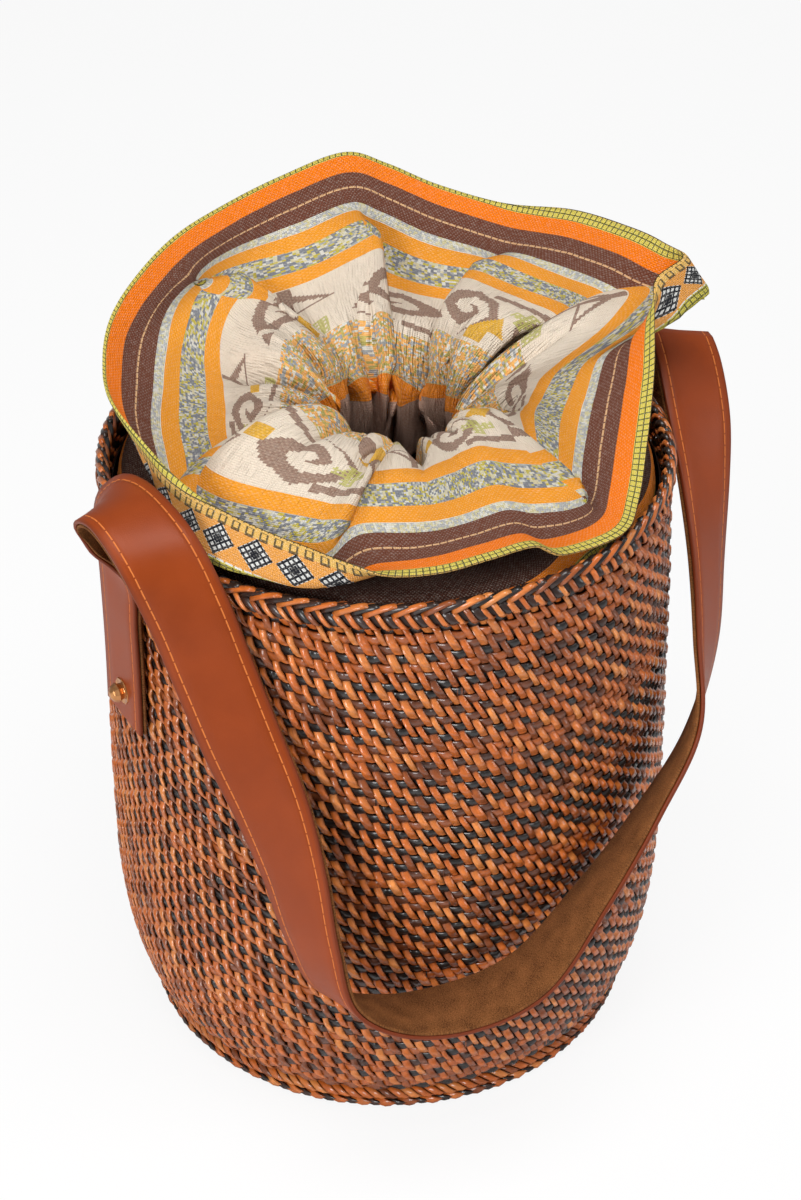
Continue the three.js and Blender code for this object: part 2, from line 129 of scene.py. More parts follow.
class Paint:
    """A material with its one shader, and the nodes that feed it."""

    def __init__(self, name, **constants):
        self.material = bpy.data.materials.new(name)
        self.material.use_nodes = True
        self.tree = self.material.node_tree
        self.shader = self.tree.nodes["Principled BSDF"]
        for socket, value in constants.items():
            self.shader.inputs[socket.replace("_", " ")].default_value = value

    def feed(self, socket, value):
        if isinstance(value, Value):
            self.tree.links.new(value.socket, socket)
        elif value is not None:
            socket.default_value = value

    def node(self, kind, settings, *values, out=0, **named):
        node = self.tree.nodes.new(kind)
        for name, setting in settings.items():
            if name == "stops":
                ramp = node.color_ramp
                while len(ramp.elements) < len(setting):
                    ramp.elements.new(0.5)
                for element, (place, color) in zip(ramp.elements, setting):
                    element.position = place
                    element.color = (*color, 1)
            elif name == "blend":
                node.color_ramp.interpolation = setting
            else:
                setattr(node, name, setting)
        for index, value in enumerate(values):
            self.feed(node.inputs[index], value)
        for name, value in named.items():
            self.feed(node.inputs[name.replace("_", " ")], value)
        return Value(self, node.outputs[out])

    def ramp(self, factor, *stops, blend="LINEAR"):
        return self.node("ShaderNodeValToRGB", {"blend": blend, "stops": stops}, factor)

    def mix(self, a, b, factor, blend_type="MIX"):
        node = self.tree.nodes.new("ShaderNodeMix")
        node.data_type = "RGBA"
        node.blend_type = blend_type
        for socket, value in ((0, factor), (6, a), (7, b)):
            if isinstance(value, tuple):
                value = (*value, 1)
            self.feed(node.inputs[socket], value)
        return Value(self, node.outputs[2])

    def noise(self, vector, scale, detail=2, roughness=0.5):
        return self.node(
            "ShaderNodeTexNoise", {}, Vector=vector, Scale=scale, Detail=detail, Roughness=roughness,
        )

    def object_place(self):
        return self.node("ShaderNodeTexCoord", {}, out=3)

    def map_place(self):
        return self.node("ShaderNodeUVMap", {"uv_map": "cloth"})

    def parts(self, vector):
        split = self.node("ShaderNodeSeparateXYZ", {}, vector)
        return [Value(self, socket) for socket in split.socket.node.outputs]

    def joined(self, x, y, z=0.0):
        return self.node("ShaderNodeCombineXYZ", {}, x, y, z)

    def attribute(self, name, out=0):
        return self.node("ShaderNodeAttribute", {"attribute_name": name}, out=out)

    def finish(self, color=None, roughness=None, height=None, depth=0.0, coat=None, strength=1.0):
        self.feed(self.shader.inputs["Base Color"], color)
        self.feed(self.shader.inputs["Roughness"], roughness)
        self.feed(self.shader.inputs["Coat Weight"], coat)
        if height is not None:
            bump = self.node("ShaderNodeBump", {}, Height=height, Distance=depth, Strength=strength)
            self.feed(self.shader.inputs["Normal"], bump)
        return self.material


table_size = 6
table_mesh = bmesh.new()
bmesh.ops.create_grid(table_mesh, x_segments=1, y_segments=1, size=table_size / 2)
table_data = bpy.data.meshes.new("table")
table_mesh.to_mesh(table_data)
table_mesh.free()
table = bpy.data.objects.new("table", table_data)
scene.collection.objects.link(table)

white = (1, 1, 1)
table_shadow = 0.12
table_paint = Paint("table_white", Base_Color=(0.9, 0.9, 0.9, 1), Roughness=0.8)
ray = table_paint.node("ShaderNodeLightPath", {})
seen = Value(table_paint, ray.socket.node.outputs["Is Camera Ray"])
glow = table_paint.node("ShaderNodeEmission", {}, Color=(*white, 1), Strength=1.0)
lit = Value(table_paint, table_paint.shader.outputs[0])
blended = table_paint.node("ShaderNodeMixShader", {}, seen * (1 - table_shadow), lit, glow)
table_paint.feed(table_paint.tree.nodes["Material Output"].inputs["Surface"], blended)
table_data.materials.append(table_paint.material)

world = bpy.data.worlds.new("studio")
scene.world = world
world.use_nodes = True
world_light = 0.3
sky = world.node_tree.nodes["Background"]
sky.inputs["Color"].default_value = (*white, 1)
path = world.node_tree.nodes.new("ShaderNodeLightPath")
plain = world.node_tree.nodes.new("ShaderNodeMath")
plain.operation = "MAXIMUM"
shown = world.node_tree.nodes.new("ShaderNodeMath")
shown.operation = "MULTIPLY_ADD"
shown.inputs[1].default_value = 1 - world_light
shown.inputs[2].default_value = world_light
world.node_tree.links.new(path.outputs["Is Camera Ray"], plain.inputs[0])
world.node_tree.links.new(path.outputs["Is Transmission Ray"], plain.inputs[1])
world.node_tree.links.new(plain.outputs[0], shown.inputs[0])
world.node_tree.links.new(shown.outputs[0], sky.inputs["Strength"])


def soft_lamp(name, place, size, power):
    lamp = bpy.data.lights.new(name, "AREA")
    lamp.shape = "SQUARE"
    lamp.size = size
    lamp.energy = power
    holder = bpy.data.objects.new(name, lamp)
    holder.location = place
    aim = Vector((0, 0, 150 * mm)) - Vector(place)
    holder.rotation_euler = aim.to_track_quat("-Z", "Y").to_euler()
    scene.collection.objects.link(holder)


soft_lamp("top_lamp", (-0.1, -0.35, 1.5), 0.7, 13)
soft_lamp("left_lamp", (-1.5, -0.5, 0.75), 0.6, 16)
soft_lamp("right_lamp", (1.3, -1.1, 0.8), 0.7, 7)


# The strands: split rattan peel, flat underneath and a little rounded on top, lacquered. Some
# are honey coloured, some stained brown and some black. Every woven piece is laid from them.
strand_section = [(-0.5, 0), (-0.44, 0.8), (0, 1), (0.44, 0.8), (0.5, 0)]
honey = (0.5, 0.112, 0.014)
pale_honey = (0.66, 0.22, 0.05)
brown = (0.1, 0.027, 0.009)
black = (0.007, 0.0055, 0.005)
dice = random.Random(7)


def unit(vectors):
    """The vectors' directions, each one long."""
    return vectors / np.linalg.norm(vectors, axis=-1)[..., None]


def data_of(name, mesh):
    """The named mesh data of a bmesh, which is freed."""
    data = bpy.data.meshes.new(name)
    mesh.to_mesh(data)
    mesh.free()
    return data


def add_piece(data, material, smooth=True):
    """An object of the scene with the name of its mesh data."""
    data.polygons.foreach_set("use_smooth", [smooth] * len(data.polygons))
    data.materials.append(material)
    piece = bpy.data.objects.new(data.name, data)
    scene.collection.objects.link(piece)
    return piece


def blank_strand(steps):
    """A closed strand one long, one wide and one thick: its points and faces."""
    mesh = bmesh.new()
    bmesh.ops.create_circle(mesh, cap_ends=True, segments=len(strand_section), radius=0.5)
    for point, (across, up) in zip(mesh.verts, strand_section):
        point.co = (across, 0, up)
    mesh.faces.ensure_lookup_table()
    end = mesh.faces[0]
    for step in np.diff(steps):
        grown = bmesh.ops.extrude_face_region(mesh, geom=[end])["geom"]
        end = next(part for part in grown if isinstance(part, bmesh.types.BMFace))
        tip = [part for part in grown if isinstance(part, bmesh.types.BMVert)]
        bmesh.ops.translate(mesh, verts=tip, vec=(0, step, 0))
    bmesh.ops.recalc_face_normals(mesh, faces=mesh.faces)
    points = np.array([point.co[:] for point in mesh.verts])
    faces = [[point.index for point in face.verts] for face in mesh.faces]
    mesh.free()
    return points, faces


class Weave:
    """Strands laid one after another, joined to one piece at the end."""

    def __init__(self, steps):
        self.steps = np.array(steps)
        self.points, self.faces = blank_strand(self.steps)
        self.station = np.abs(self.points[:, 1:2] - self.steps).argmin(axis=1)
        self.laid = []
        self.dyes = []
        self.lengths = []

    def lay(self, middle, across, out, width, thickness, dye):
        """One strand whose middle, direction across and direction out are given at each station."""
        at = self.station
        widths = np.broadcast_to(width, self.steps.shape)[at]
        place = (
            middle[at]
            + across[at] * (self.points[:, 0] * widths)[:, None]
            + out[at] * (self.points[:, 2] * thickness)[:, None]
        )
        self.laid.append(place)
        self.dyes.append(dye)
        run = np.linalg.norm(np.diff(middle, axis=0), axis=1).sum()
        self.lengths.append(run)

    def lay_along(self, middle, out, width, thickness, dye):
        """One strand along a line, with its flat side facing out."""
        along = np.gradient(middle, axis=0)
        across = unit(np.cross(along, out))
        self.lay(middle, across, unit(np.cross(across, along)), width, thickness, dye)

    def join(self, name, material, *nodes):
        count = len(self.points)
        faces = [[i * count + k for k in face] for i in range(len(self.laid)) for face in self.faces]
        data = bpy.data.meshes.new(name)
        data.from_pydata(np.concatenate(self.laid).tolist(), [], faces)
        dye = data.attributes.new("dye", "FLOAT_COLOR", "POINT")
        colors = np.repeat(np.array([(*dye, 1) for dye in self.dyes]), count, axis=0)
        dye.data.foreach_set("color", colors.ravel())
        grain = data.attributes.new("grain", "FLOAT_VECTOR", "POINT")
        own = np.tile(self.points, (len(self.laid), 1))
        own[:, 1] *= np.repeat(self.lengths, count) / mm
        own[:, 2] = np.repeat(np.arange(len(self.laid)) * 3.7, count)
        grain.data.foreach_set("vector", own.ravel())
        piece = add_piece(data, material)
        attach(piece, "root")
        if nodes:
            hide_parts(*nodes)


strand_paint = Paint("lacquered_strand", Coat_Roughness=0.16, Specular_IOR_Level=0.3)
grain_across, grain_along, grain_seed = strand_paint.parts(strand_paint.attribute("grain", out=1))
fibre = strand_paint.noise(
    strand_paint.joined(grain_across * 9, grain_along * 0.22, grain_seed), 1.0, detail=3, roughness=0.6,
)
blotch = strand_paint.noise(strand_paint.joined(grain_across, grain_along * 0.25, grain_seed), 1.1)
# The strands' edges are darkened: painted shade where each strand turns down into the gaps. The dark streaks
# of the grain are their own.
edge = (grain_across.math("ABSOLUTE") * 2) ** 4
strand_color = strand_paint.mix(
    strand_paint.attribute("dye"), (0.02, 0.008, 0.004), (fibre - 0.45) * 0.9 + edge * 0.45,
)
strand_color = strand_paint.mix(strand_color, (2.4, 2.6, 3.0), (blotch - 0.48) * 1.1, "MULTIPLY")
strand_finish = strand_paint.finish(
    color=strand_color,
    roughness=0.38 + fibre * 0.2,
    coat=0.4 + blotch * 0.5,
    height=fibre,
    depth=0.12 * mm,
    strength=0.6,
)


# The wall: stakes of honey rattan, each over two and under two of the hoops, so that stitches
# in every second column stand half a stitch higher. The hoops are flat, black, brown or honey.
def outline_of(node):
    """The bulging outside of a CAD node of revolution: its heights, and the radius at each."""
    points = np.array([point.co[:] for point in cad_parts[node].data.vertices])
    radius = np.hypot(points[:, 0], points[:, 1])
    heights = points[:, 2].round(5)
    hull = []
    for c in [(z, radius[heights == z].max()) for z in np.unique(heights)]:
        while len(hull) > 1:
            a, b = hull[-2:]
            if (b[0] - a[0]) * (c[1] - a[1]) < (b[1] - a[1]) * (c[0] - a[0]):
                break
            hull.pop()
        hull.append(c)
    return np.array(hull).T


wall_heights, wall_radii = outline_of("basket_wall")
wall_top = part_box("rim_border")[1][2]
columns = 134
stitch_rows = 30
stitch_pitch = 7.93 * mm
top_stitch = wall_top - 9.5 * mm
stitch_length = 8.7 * mm
stitch_width = 3.3 * mm
stitch_lean = math.tan(math.radians(27))
stitch_depth = 3.3 * mm
stitch_rise = 2.4 * mm
hoop_height = 3.6 * mm
hoop_wave = 0.75 * mm
hoop_depth = 1.1 * mm
strand_thickness = 0.9 * mm
column_angle = 2 * math.pi / columns


def on_wall(around, height, out):
    """A point of the wall: its angle, height, and distance out from the wall's face."""
    radius = np.interp(height, wall_heights, wall_radii) + out
    return np.stack([radius * np.cos(around), radius * np.sin(around), height + 0 * around], axis=-1)


def wall_frame(around, height):
    """Directions to the right and out of the wall, seen from outside."""
    right = np.stack([-np.sin(around), np.cos(around), 0 * around], axis=-1)
    out = np.stack([np.cos(around), np.sin(around), 0 * around], axis=-1)
    return right, out


def mixed(a, b, part):
    return tuple(x + (y - x) * part for x, y in zip(a, b))


def stitch_dye():
    kind = dice.random()
    if kind < 0.2:
        return mixed(brown, honey, dice.uniform(0.15, 0.6))
    return mixed(honey, pale_honey, dice.random() ** 2.4)


row_width = [dice.uniform(0.8, 1.12) for _ in range(2 * stitch_rows + 2)]


def wall_stitches(name, rows, *nodes):
    """Rows of stitches, leaning to one side, whose middles stand out and whose ends go under."""
    weave = Weave((0, 0.1, 0.3, 0.7, 0.9, 1))
    steps = weave.steps - 0.5
    arch = 1 - np.abs(2 * steps) ** 4
    for column in range(columns):
        for row in rows:
            half_row = 2 * row + column % 2
            wide = row_width[half_row] * dice.uniform(0.8, 1.2)
            middle = top_stitch - half_row * stitch_pitch / 2 + dice.uniform(-0.3, 0.3) * mm
            height = middle - steps * stitch_length
            radius = np.interp(middle, wall_heights, wall_radii)
            lean = stitch_lean * dice.uniform(0.85, 1.15)
            slide = steps * stitch_length * lean + dice.uniform(-0.35, 0.35) * mm
            around = column * column_angle + slide / radius
            out = -stitch_depth + arch * (stitch_rise + dice.uniform(0, 0.4) * mm)
            right, away = wall_frame(around, height)
            points = on_wall(around, height, out)
            along = unit(np.gradient(points, axis=0))
            face = np.cross(unit(np.cross(along, away)), along)
            weave.lay(points, right, face, stitch_width * wide, strand_thickness, stitch_dye())
    weave.join(name, strand_finish, *nodes)


half_rows = stitch_rows // 2
wall_stitches("wall_stitches_upper", range(half_rows), "basket_wall")
wall_stitches("wall_stitches_lower", range(half_rows, stitch_rows))

# The dyes of the upper hoops, from the rim down: black, dark, brown or orange, as in the photo
upper_dyes = "dkobkodkbbdbkkboo"
hoop_dyes = {
    "k": black,
    "d": mixed(black, brown, 0.4),
    "b": mixed(brown, honey, 0.06),
    "o": mixed(brown, honey, 0.6),
}


def hoop_dye(hoop):
    """The dye of one length of a hoop: as in the photo near the rim, and by chance elsewhere."""
    if hoop < len(upper_dyes) and dice.random() < 0.75:
        return hoop_dyes[upper_dyes[hoop]]
    kind = dice.random()
    if kind < (0.5 if hoop < stitch_rows else 0.4):
        return black
    if kind < 0.75:
        return mixed(black, brown, dice.uniform(0.4, 1))
    return mixed(brown, honey, dice.uniform(0.1, 0.8))


def wall_hoops(name, hoops):
    """Hoops of the wall, each laid in four lengths, waving out between the stitches."""
    lengths = 4
    reach = columns // lengths + 1
    steps_per_column = 3
    weave = Weave(np.linspace(0, 1, steps_per_column * reach + 1))
    for hoop in hoops:
        height = top_stitch + (1 - 2 * hoop) * stitch_pitch / 4
        start = dice.random() * columns
        for length in range(lengths):
            place = start + (length + weave.steps * reach / (columns / lengths)) * columns / lengths
            wave = np.cos(2 * math.pi * (place - 0.5 - hoop % 2) / 2)
            around = place * column_angle
            level = np.full_like(around, height)
            out = -hoop_depth + hoop_wave * wave - strand_thickness
            right, away = wall_frame(around, level)
            up = np.tile((0.0, 0.0, 1.0), (len(around), 1))
            points = on_wall(around, level, out)
            weave.lay(points, -up, away, hoop_height, strand_thickness, hoop_dye(hoop))
    weave.join(name, strand_finish)


hoop_count = 2 * stitch_rows + 1
wall_hoops("wall_hoops_upper", range(0, hoop_count // 2))
wall_hoops("wall_hoops_lower", range(hoop_count // 2, hoop_count))

# Behind the weave lies a dark core: painted shade that shows in the gaps between the strips
core_in = 3.5 * mm
core_back = 3.8 * mm
gap_shade_paint = Paint("painted_gap_shade", Roughness=0.7)
gap_shade_noise = gap_shade_paint.noise(gap_shade_paint.object_place(), 400.0)
gap_shade_color = gap_shade_paint.mix((0.01, 0.006, 0.004), (0.06, 0.022, 0.01), gap_shade_noise)
gap_shade_finish = gap_shade_paint.finish(color=gap_shade_color)


def spun(outline, steps, closed):
    """A form turned about the upright axis, from an outline of radius and height."""
    mesh = bmesh.new()
    points = [mesh.verts.new((radius, 0, height)) for radius, height in outline]
    first = 0 if closed else 1
    edges = [mesh.edges.new((points[i - 1], points[i])) for i in range(first, len(points))]
    bmesh.ops.spin(
        mesh, geom=points + edges, cent=(0, 0, 0), axis=(0, 0, 1), angle=2 * math.pi,
        steps=steps, use_merge=True,
    )
    return mesh


def gap_shade_ring(name, outline):
    """A ring under the strips, dark as painted shade in their gaps, from the closed outline of its section.
    """
    mesh = spun(outline, 96, closed=True)
    bmesh.ops.recalc_face_normals(mesh, faces=mesh.faces)
    piece = add_piece(data_of(name, mesh), gap_shade_finish)
    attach(piece, "root")


core_front = [(r - core_in, z) for z, r in zip(wall_heights, wall_radii)]
core_rear = [(r - core_back, z) for z, r in zip(wall_heights, wall_radii)]
gap_shade_ring("wall_core", core_front + core_rear[::-1])


# The rim: a herringbone border. The stakes lean over in rows of short strips, black between
# honey, that cross on the top edge and pass down inside the bag.
rim_low, rim_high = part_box("rim_border")
rim_width = 5.6 * mm
rim_middle = rim_high[0] - rim_width / 2
rim_rise = (rim_high[2] - rim_low[2]) / 2
rim_level = rim_high[2] - rim_rise


def on_border(around, turn, center, level, width, rise):
    """A point on a rounded ring: its angle round the bag and round the ring's section."""
    radius = center + width * np.cos(turn)
    height = level + rise * np.sin(turn)
    return np.stack([radius * np.cos(around), radius * np.sin(around), height], axis=-1)


def border_strips(weave, ring, turns, slide, count, offset, width, dyes, raised=0.0):
    """Short strips all round a ring, each from one turn of its section to the other."""
    center, level, half_width, rise = ring
    steps = weave.steps
    arch = 1 - np.abs(2 * steps - 1) ** 4
    sunk = 1.1 * mm
    for strip in range(count):
        around = (strip + offset) / count * 2 * math.pi + steps * slide / center
        turn = np.radians(turns[0] + steps * (turns[1] - turns[0]))
        lift = (arch - 1) * sunk + raised + dice.uniform(-0.15, 0.15) * mm
        outer = on_border(around, turn, center, level, half_width + lift, rise + lift)
        lift = lift - strand_thickness
        inner = on_border(around, turn, center, level, half_width + lift, rise + lift)
        wide = width * dice.uniform(0.85, 1.1)
        weave.lay_along(inner, outer - inner, wide, strand_thickness, dyes[strip % len(dyes)]())


def black_dye():
    return mixed(black, brown, dice.random() * 0.3)


def oval(center, level, half_width, rise, count):
    """The closed outline of a ring's section, as radius and height."""
    turns = np.linspace(0, 2 * math.pi, count, endpoint=False)
    return [(center + half_width * math.cos(turn), level + rise * math.sin(turn)) for turn in turns]


rim_ring = (rim_middle, rim_level, rim_width / 2, rim_rise)
rim_weave = Weave(np.linspace(0, 1, 7))
half_columns = columns // 2
# Each row of strips: where it starts and ends round the rim's section in degrees, how far it
# slides along the rim, how many strips it has, its start in shares of a strip, its width and
# lift in mm, and its dyes
rim_rows = (
    ((48, -62), 6, half_columns, 0.3, 2.1, 0.2, (stitch_dye,)),
    ((40, -62), 5.5, half_columns, 0.62, 3.6, -0.4, (black_dye,)),
    ((30, -70), 5.5, half_columns, 0.93, 2.5, -0.2, (stitch_dye,)),
    ((28, 86), 12, half_columns, 0, 2.4, 0.5, (stitch_dye,)),
    ((36, 92), 12, half_columns, 0.5, 2.9, 0.1, (black_dye,)),
    ((75, 165), 8, columns, 0.1, 3, 0, (stitch_dye, black_dye)),
)
for turns, slide, count, start, width, raised, dyes in rim_rows:
    border_strips(rim_weave, rim_ring, turns, slide * mm, count, start, width * mm, dyes, raised * mm)
rim_weave.join("rim_strips", strand_finish, "rim_border")
# Under the rim's strips lies a dark core: painted shade in the gaps between them
under_strips = 1.4 * mm
gap_shade_ring("rim_core", oval(rim_middle, rim_level, rim_width / 2 - under_strips, rim_rise - under_strips, 12))


# The foot: a thick roll of honey strips wrapped slantwise round a core painted dark as shade, and below it a
# plaited edge of black and honey strips that the bag stands on.
foot_wrap_ring = (101 * mm, 7.5 * mm, 3.6 * mm, 3.8 * mm)
foot_plait_ring = (100.6 * mm, 3 * mm, 3.9 * mm, 1.9 * mm)
wrap_weave = Weave(np.linspace(0, 1, 7))
border_strips(wrap_weave, foot_wrap_ring, (110, -95), 12 * mm, columns, 0.2, 3.2 * mm, (stitch_dye,))
wrap_weave.join("foot_wraps", strand_finish, "foot_wrap")
plait_weave = Weave(np.linspace(0, 1, 7))
border_strips(plait_weave, foot_plait_ring, (85, -75), 12 * mm, half_columns, 0, 3.6 * mm, (stitch_dye,))
border_strips(plait_weave, foot_plait_ring, (85, -75), 12 * mm, half_columns, 0.5, 2.6 * mm, (black_dye,))
plait_weave.join("foot_plaits", strand_finish, "foot_plait")
# Dark cores under the foot's strips: painted shade in the gaps between them
for name, (center, level, half_width, rise) in (("wrap", foot_wrap_ring), ("plait", foot_plait_ring)):
    gap_shade_ring(f"foot_{name}_core", oval(center, level, half_width - 1.1 * mm, rise - 0.9 * mm, 10))


# The floor: wide dark strips of rattan, woven over one and under one. It is cut round, and its
# edge lies inside the foot.
floor_low, floor_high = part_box("woven_floor")
floor_radius = floor_high[0] - 0.6 * mm
floor_level = (floor_low[2] + floor_high[2]) / 2
floor_pitch = 6.4 * mm
floor_wave = 0.75 * mm
floor_strips = int(floor_radius / floor_pitch)
floor_weave = Weave(np.linspace(0, 1, 61))
for direction in (0, 1):
    for strip in range(-floor_strips, floor_strips + 1):
        off = strip * floor_pitch
        reach = math.sqrt(floor_radius**2 - off**2)
        run = (floor_weave.steps * 2 - 1) * reach
        wave = np.cos(math.pi * (run / floor_pitch + strip + direction)) * floor_wave
        up = np.tile((0.0, 0.0, 1.0), (len(run), 1))
        side = np.full_like(run, off)
        level = floor_level + wave - strand_thickness / 2
        line = np.stack([run, side, level] if direction == 0 else [side, run, level], axis=-1)
        dye = mixed(brown, honey, dice.random() * 0.4)
        floor_weave.lay_along(line, up, floor_pitch * 0.9, strand_thickness, dye)
floor_weave.join("woven_floor_strips", strand_finish, "woven_floor")


# The cloth: coarse linen. One printed tube makes the collar and the sleeve below the neck, and
# a plain brown bag makes the lining. Each part has its own way of folding.
thread = 0.8


def linen(name):
    """Cloth with its place along the hem and up from it, in mm, and the height of its threads."""
    paint = Paint(name, Roughness=0.9, Specular_IOR_Level=0.2)
    along, up, _ = paint.parts(paint.map_place())
    weave = (along * (math.pi / thread)).math("SINE") * (up * (math.pi / thread)).math("SINE")
    return paint, along, up, weave


def woven(paint, along, up, weave, color, creases=None):
    """The finish of a cloth: its colour, with the lighter and darker threads and their relief."""
    slub = paint.noise(paint.joined(along * 0.35, up * 1.9), 1.0)
    light = paint.mix(color, (0.9, 0.85, 0.75), weave * 0.1 + (slub - 0.46) * 0.45)
    height = weave.math("ABSOLUTE") ** 0.6
    depth = 0.35 * mm
    if creases is not None:
        height = height * 0.16 + creases
        depth = 2.2 * mm
    return paint.finish(color=light, height=height, depth=depth)


def cloth_piece(name, points, places, thickness, material, nodes):
    """A sheet closed round, from rings of points with each point's place on the flat cloth in mm."""
    rings, count = points.shape[:2]
    mesh = bmesh.new()
    face = [mesh.verts.new(point) for point in points.reshape(-1, 3)]
    ring_of = [face[row * count:(row + 1) * count] for row in range(rings)]
    for upper, lower in zip(ring_of, ring_of[1:]):
        for column in range(count):
            after = (column + 1) % count
            mesh.faces.new((upper[column], upper[after], lower[after], lower[column]))
    mesh.normal_update()
    down = np.array([point.normal[:] for point in face])
    down *= -thickness * np.sign(down[:, 2].mean() or 1)
    back = [mesh.verts.new(point) for point in points.reshape(-1, 3) + down]
    back_of = [back[row * count:(row + 1) * count] for row in range(rings)]
    marks = []
    for row in range(rings - 1):
        for column in range(count):
            marks += [
                places[row, column], places[row, column + 1],
                places[row + 1, column + 1], places[row + 1, column],
            ]
    for row in range(rings - 1):
        for column in range(count):
            after = (column + 1) % count
            corners = (back_of[row], back_of[row + 1])
            mesh.faces.new((corners[0][column], corners[1][column], corners[1][after], corners[0][after]))
            marks += [
                places[row, column], places[row + 1, column],
                places[row + 1, column + 1], places[row, column + 1],
            ]
    for row in (0, rings - 1):
        for column in range(count):
            after = (column + 1) % count
            near, far = (ring_of[row], back_of[row]) if row == 0 else (back_of[row], ring_of[row])
            mesh.faces.new((near[after], near[column], far[column], far[after]))
            marks += [
                places[row, column + 1], places[row, column],
                places[row, column], places[row, column + 1],
            ]
    layer = mesh.loops.layers.uv.new("cloth")
    for corner, mark in zip((loop for part in mesh.faces for loop in part.loops), marks):
        corner[layer].uv = mark
    bmesh.ops.recalc_face_normals(mesh, faces=mesh.faces)
    piece = add_piece(data_of(name, mesh), material)
    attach(piece, "root")
    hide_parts(*nodes)
    return piece


# The collar: the tube's upper end stands round the mouth as a ruffle. It is gathered by an
# elastic at the neck, and its hem is folded down outside and stitched.
rim_top = rim_high[2]
cloth_round = 700
elastic_at = 108
neck_tube = 26
cloth_thickness = 0.8 * mm
# Along the hem: angle round the bag, distance from its middle, height over the rim, how much
# the hem stands up as a crest (0 to 1), how far the cloth puffs up inside, and how steeply it
# leaves the hem
hem_stops = [
    (-175, 100, 28, 0.6, 10, 1.9), (-165, 98, 22, 0.8, 11, 1.7), (-155, 99, 20.5, 1, 13, 1.5),
    (-144, 100, 18.5, 1, 14, 1.5), (-135, 101, 16, 1, 15, 1.5), (-127, 102, 12, 0.8, 16, 1.5),
    (-119, 104, 8.5, 0.4, 17, 1.5), (-109, 104, 8.5, 0.1, 17, 1.5), (-99, 104, 11, 0, 17, 1.6),
    (-89, 104, 11, 0, 19, 1.6), (-83, 107, 5, 0, 19, 1.6), (-70, 112, 5, 0, 17, 1.6),
    (-60, 107, 7, 0, 14, 1.5),
    (-48, 102, 18, 0, 12, 1.4), (-34, 101, 34, 0, 9, 1.3), (-24, 102, 50, 0.2, 9, 1.3),
    (-19, 104, 59, 1, 10, 1.3), (-14, 118, 62, 1, 11, 1.3), (-7, 117, 61, 0.4, 12, 1.3),
    (2, 114, 60, 0, 13, 1.3), (17, 110, 58, 0, 15, 1.25), (34, 108, 53, 0, 16, 1.2),
    (49, 108, 57, 0, 13, 1.2), (60, 111, 64, 0, 8, 1.2), (69, 112, 69, 0, 8, 1.2),
    (82, 114, 61, 0, 8, 1.25), (95, 113, 55, 0, 7, 1.35), (109, 111, 51, 0, 7, 1.5),
    (123, 109, 46, 0, 8, 1.8), (136, 109, 40, 0, 9, 2), (149, 107, 35, 0, 9, 2.1),
    (163, 104, 32, 0.3, 9, 2.1),
]


def between(a, b, c, d, part):
    """A point of the smooth curve from b to c, which also looks at the stops on either side."""
    return 0.5 * (
        2 * b + (c - a) * part + (2 * a - 5 * b + 4 * c - d) * part**2 + (3 * b - a - 3 * c + d) * part**3
    )


def run_along(points):
    """How far each point of a line lies from its start."""
    return np.concatenate([[0], np.cumsum(np.linalg.norm(np.diff(points, axis=0), axis=-1))])


def taken_at(wanted, run, points):
    """The points of a line at the wanted distances from its start."""
    return np.stack([np.interp(wanted, run, column) for column in points.T], axis=-1)


def closed_curve(stops, count):
    """Evenly spaced points of the smooth closed curve through the stops."""
    stops = np.array(stops, dtype=float)
    before, after, beyond = (np.roll(stops, shift, axis=0) for shift in (1, -1, -2))
    part = np.linspace(0, 1, 24, endpoint=False)[None, :, None]
    a, b, c, d = (stop[:, None, :] for stop in (before, stops, after, beyond))
    fine = between(a, b, c, d, part).reshape(-1, stops.shape[1])
    fine = np.concatenate([fine, fine[:1]])
    run = run_along(fine[:, :3])
    return taken_at(np.linspace(0, run[-1], count, endpoint=False), run, fine)


collar_columns = 480
collar_rows = 84
neck_ring = 31.0
neck_middle = np.array([3.5, -2.0])
neck_level = 264.0
neck_top = neck_level - rim_top / mm
hem_places = []
for angle, out, up, *fold in hem_stops:
    turn = math.radians(angle)
    hem_places.append((out * math.cos(turn), out * math.sin(turn), up, *fold))
hem_points = closed_curve(hem_places, collar_columns)
column_share = np.arange(collar_columns) / collar_columns


def eased(values, reach):
    """A ring of values, each the mean of those around it."""
    window = np.hanning(2 * reach + 1)
    window /= window.sum()
    ring = np.concatenate([values[-reach:], values, values[:reach]])
    return np.convolve(ring, window, mode="valid")


# The hem waves in and out, and the neck below it is gathered evenly
hem_turn = np.unwrap(np.arctan2(hem_points[:, 1], hem_points[:, 0]))
even_turn = column_share * 2 * math.pi
neck_turn = eased(hem_turn - even_turn, 38) + even_turn


def bulge(x, middle, width):
    return np.exp(-(((x - middle) / width) ** 2))


def risen(x, start, end):
    """0 before the start, 1 past the end, and smooth between."""
    part = np.clip((x - start) / (end - start), 0, 1)
    return part * part * (3 - 2 * part)


def wavy(count, seed):
    """A smooth random ring of values from -1 to 1 with about count waves."""
    chance = np.random.default_rng(seed)
    peaks = np.resize(chance.uniform(-1, 1, count), count + 1)
    ring = np.interp(column_share * count, np.arange(count + 1), peaks)
    return eased(ring, collar_columns // count // 2)


def smooth_way(stops, fine_steps):
    """Points of the smooth open curves through the stops, which come one array after another."""
    stops = [2 * stops[0] - stops[1], *stops, 2 * stops[-1] - stops[-2]]
    way = []
    for a, b, c, d in zip(stops, stops[1:], stops[2:], stops[3:]):
        for part in np.linspace(0, 1, fine_steps, endpoint=False):
            way.append(between(a, b, c, d, part))
    way.append(stops[-2])
    return np.array(way)


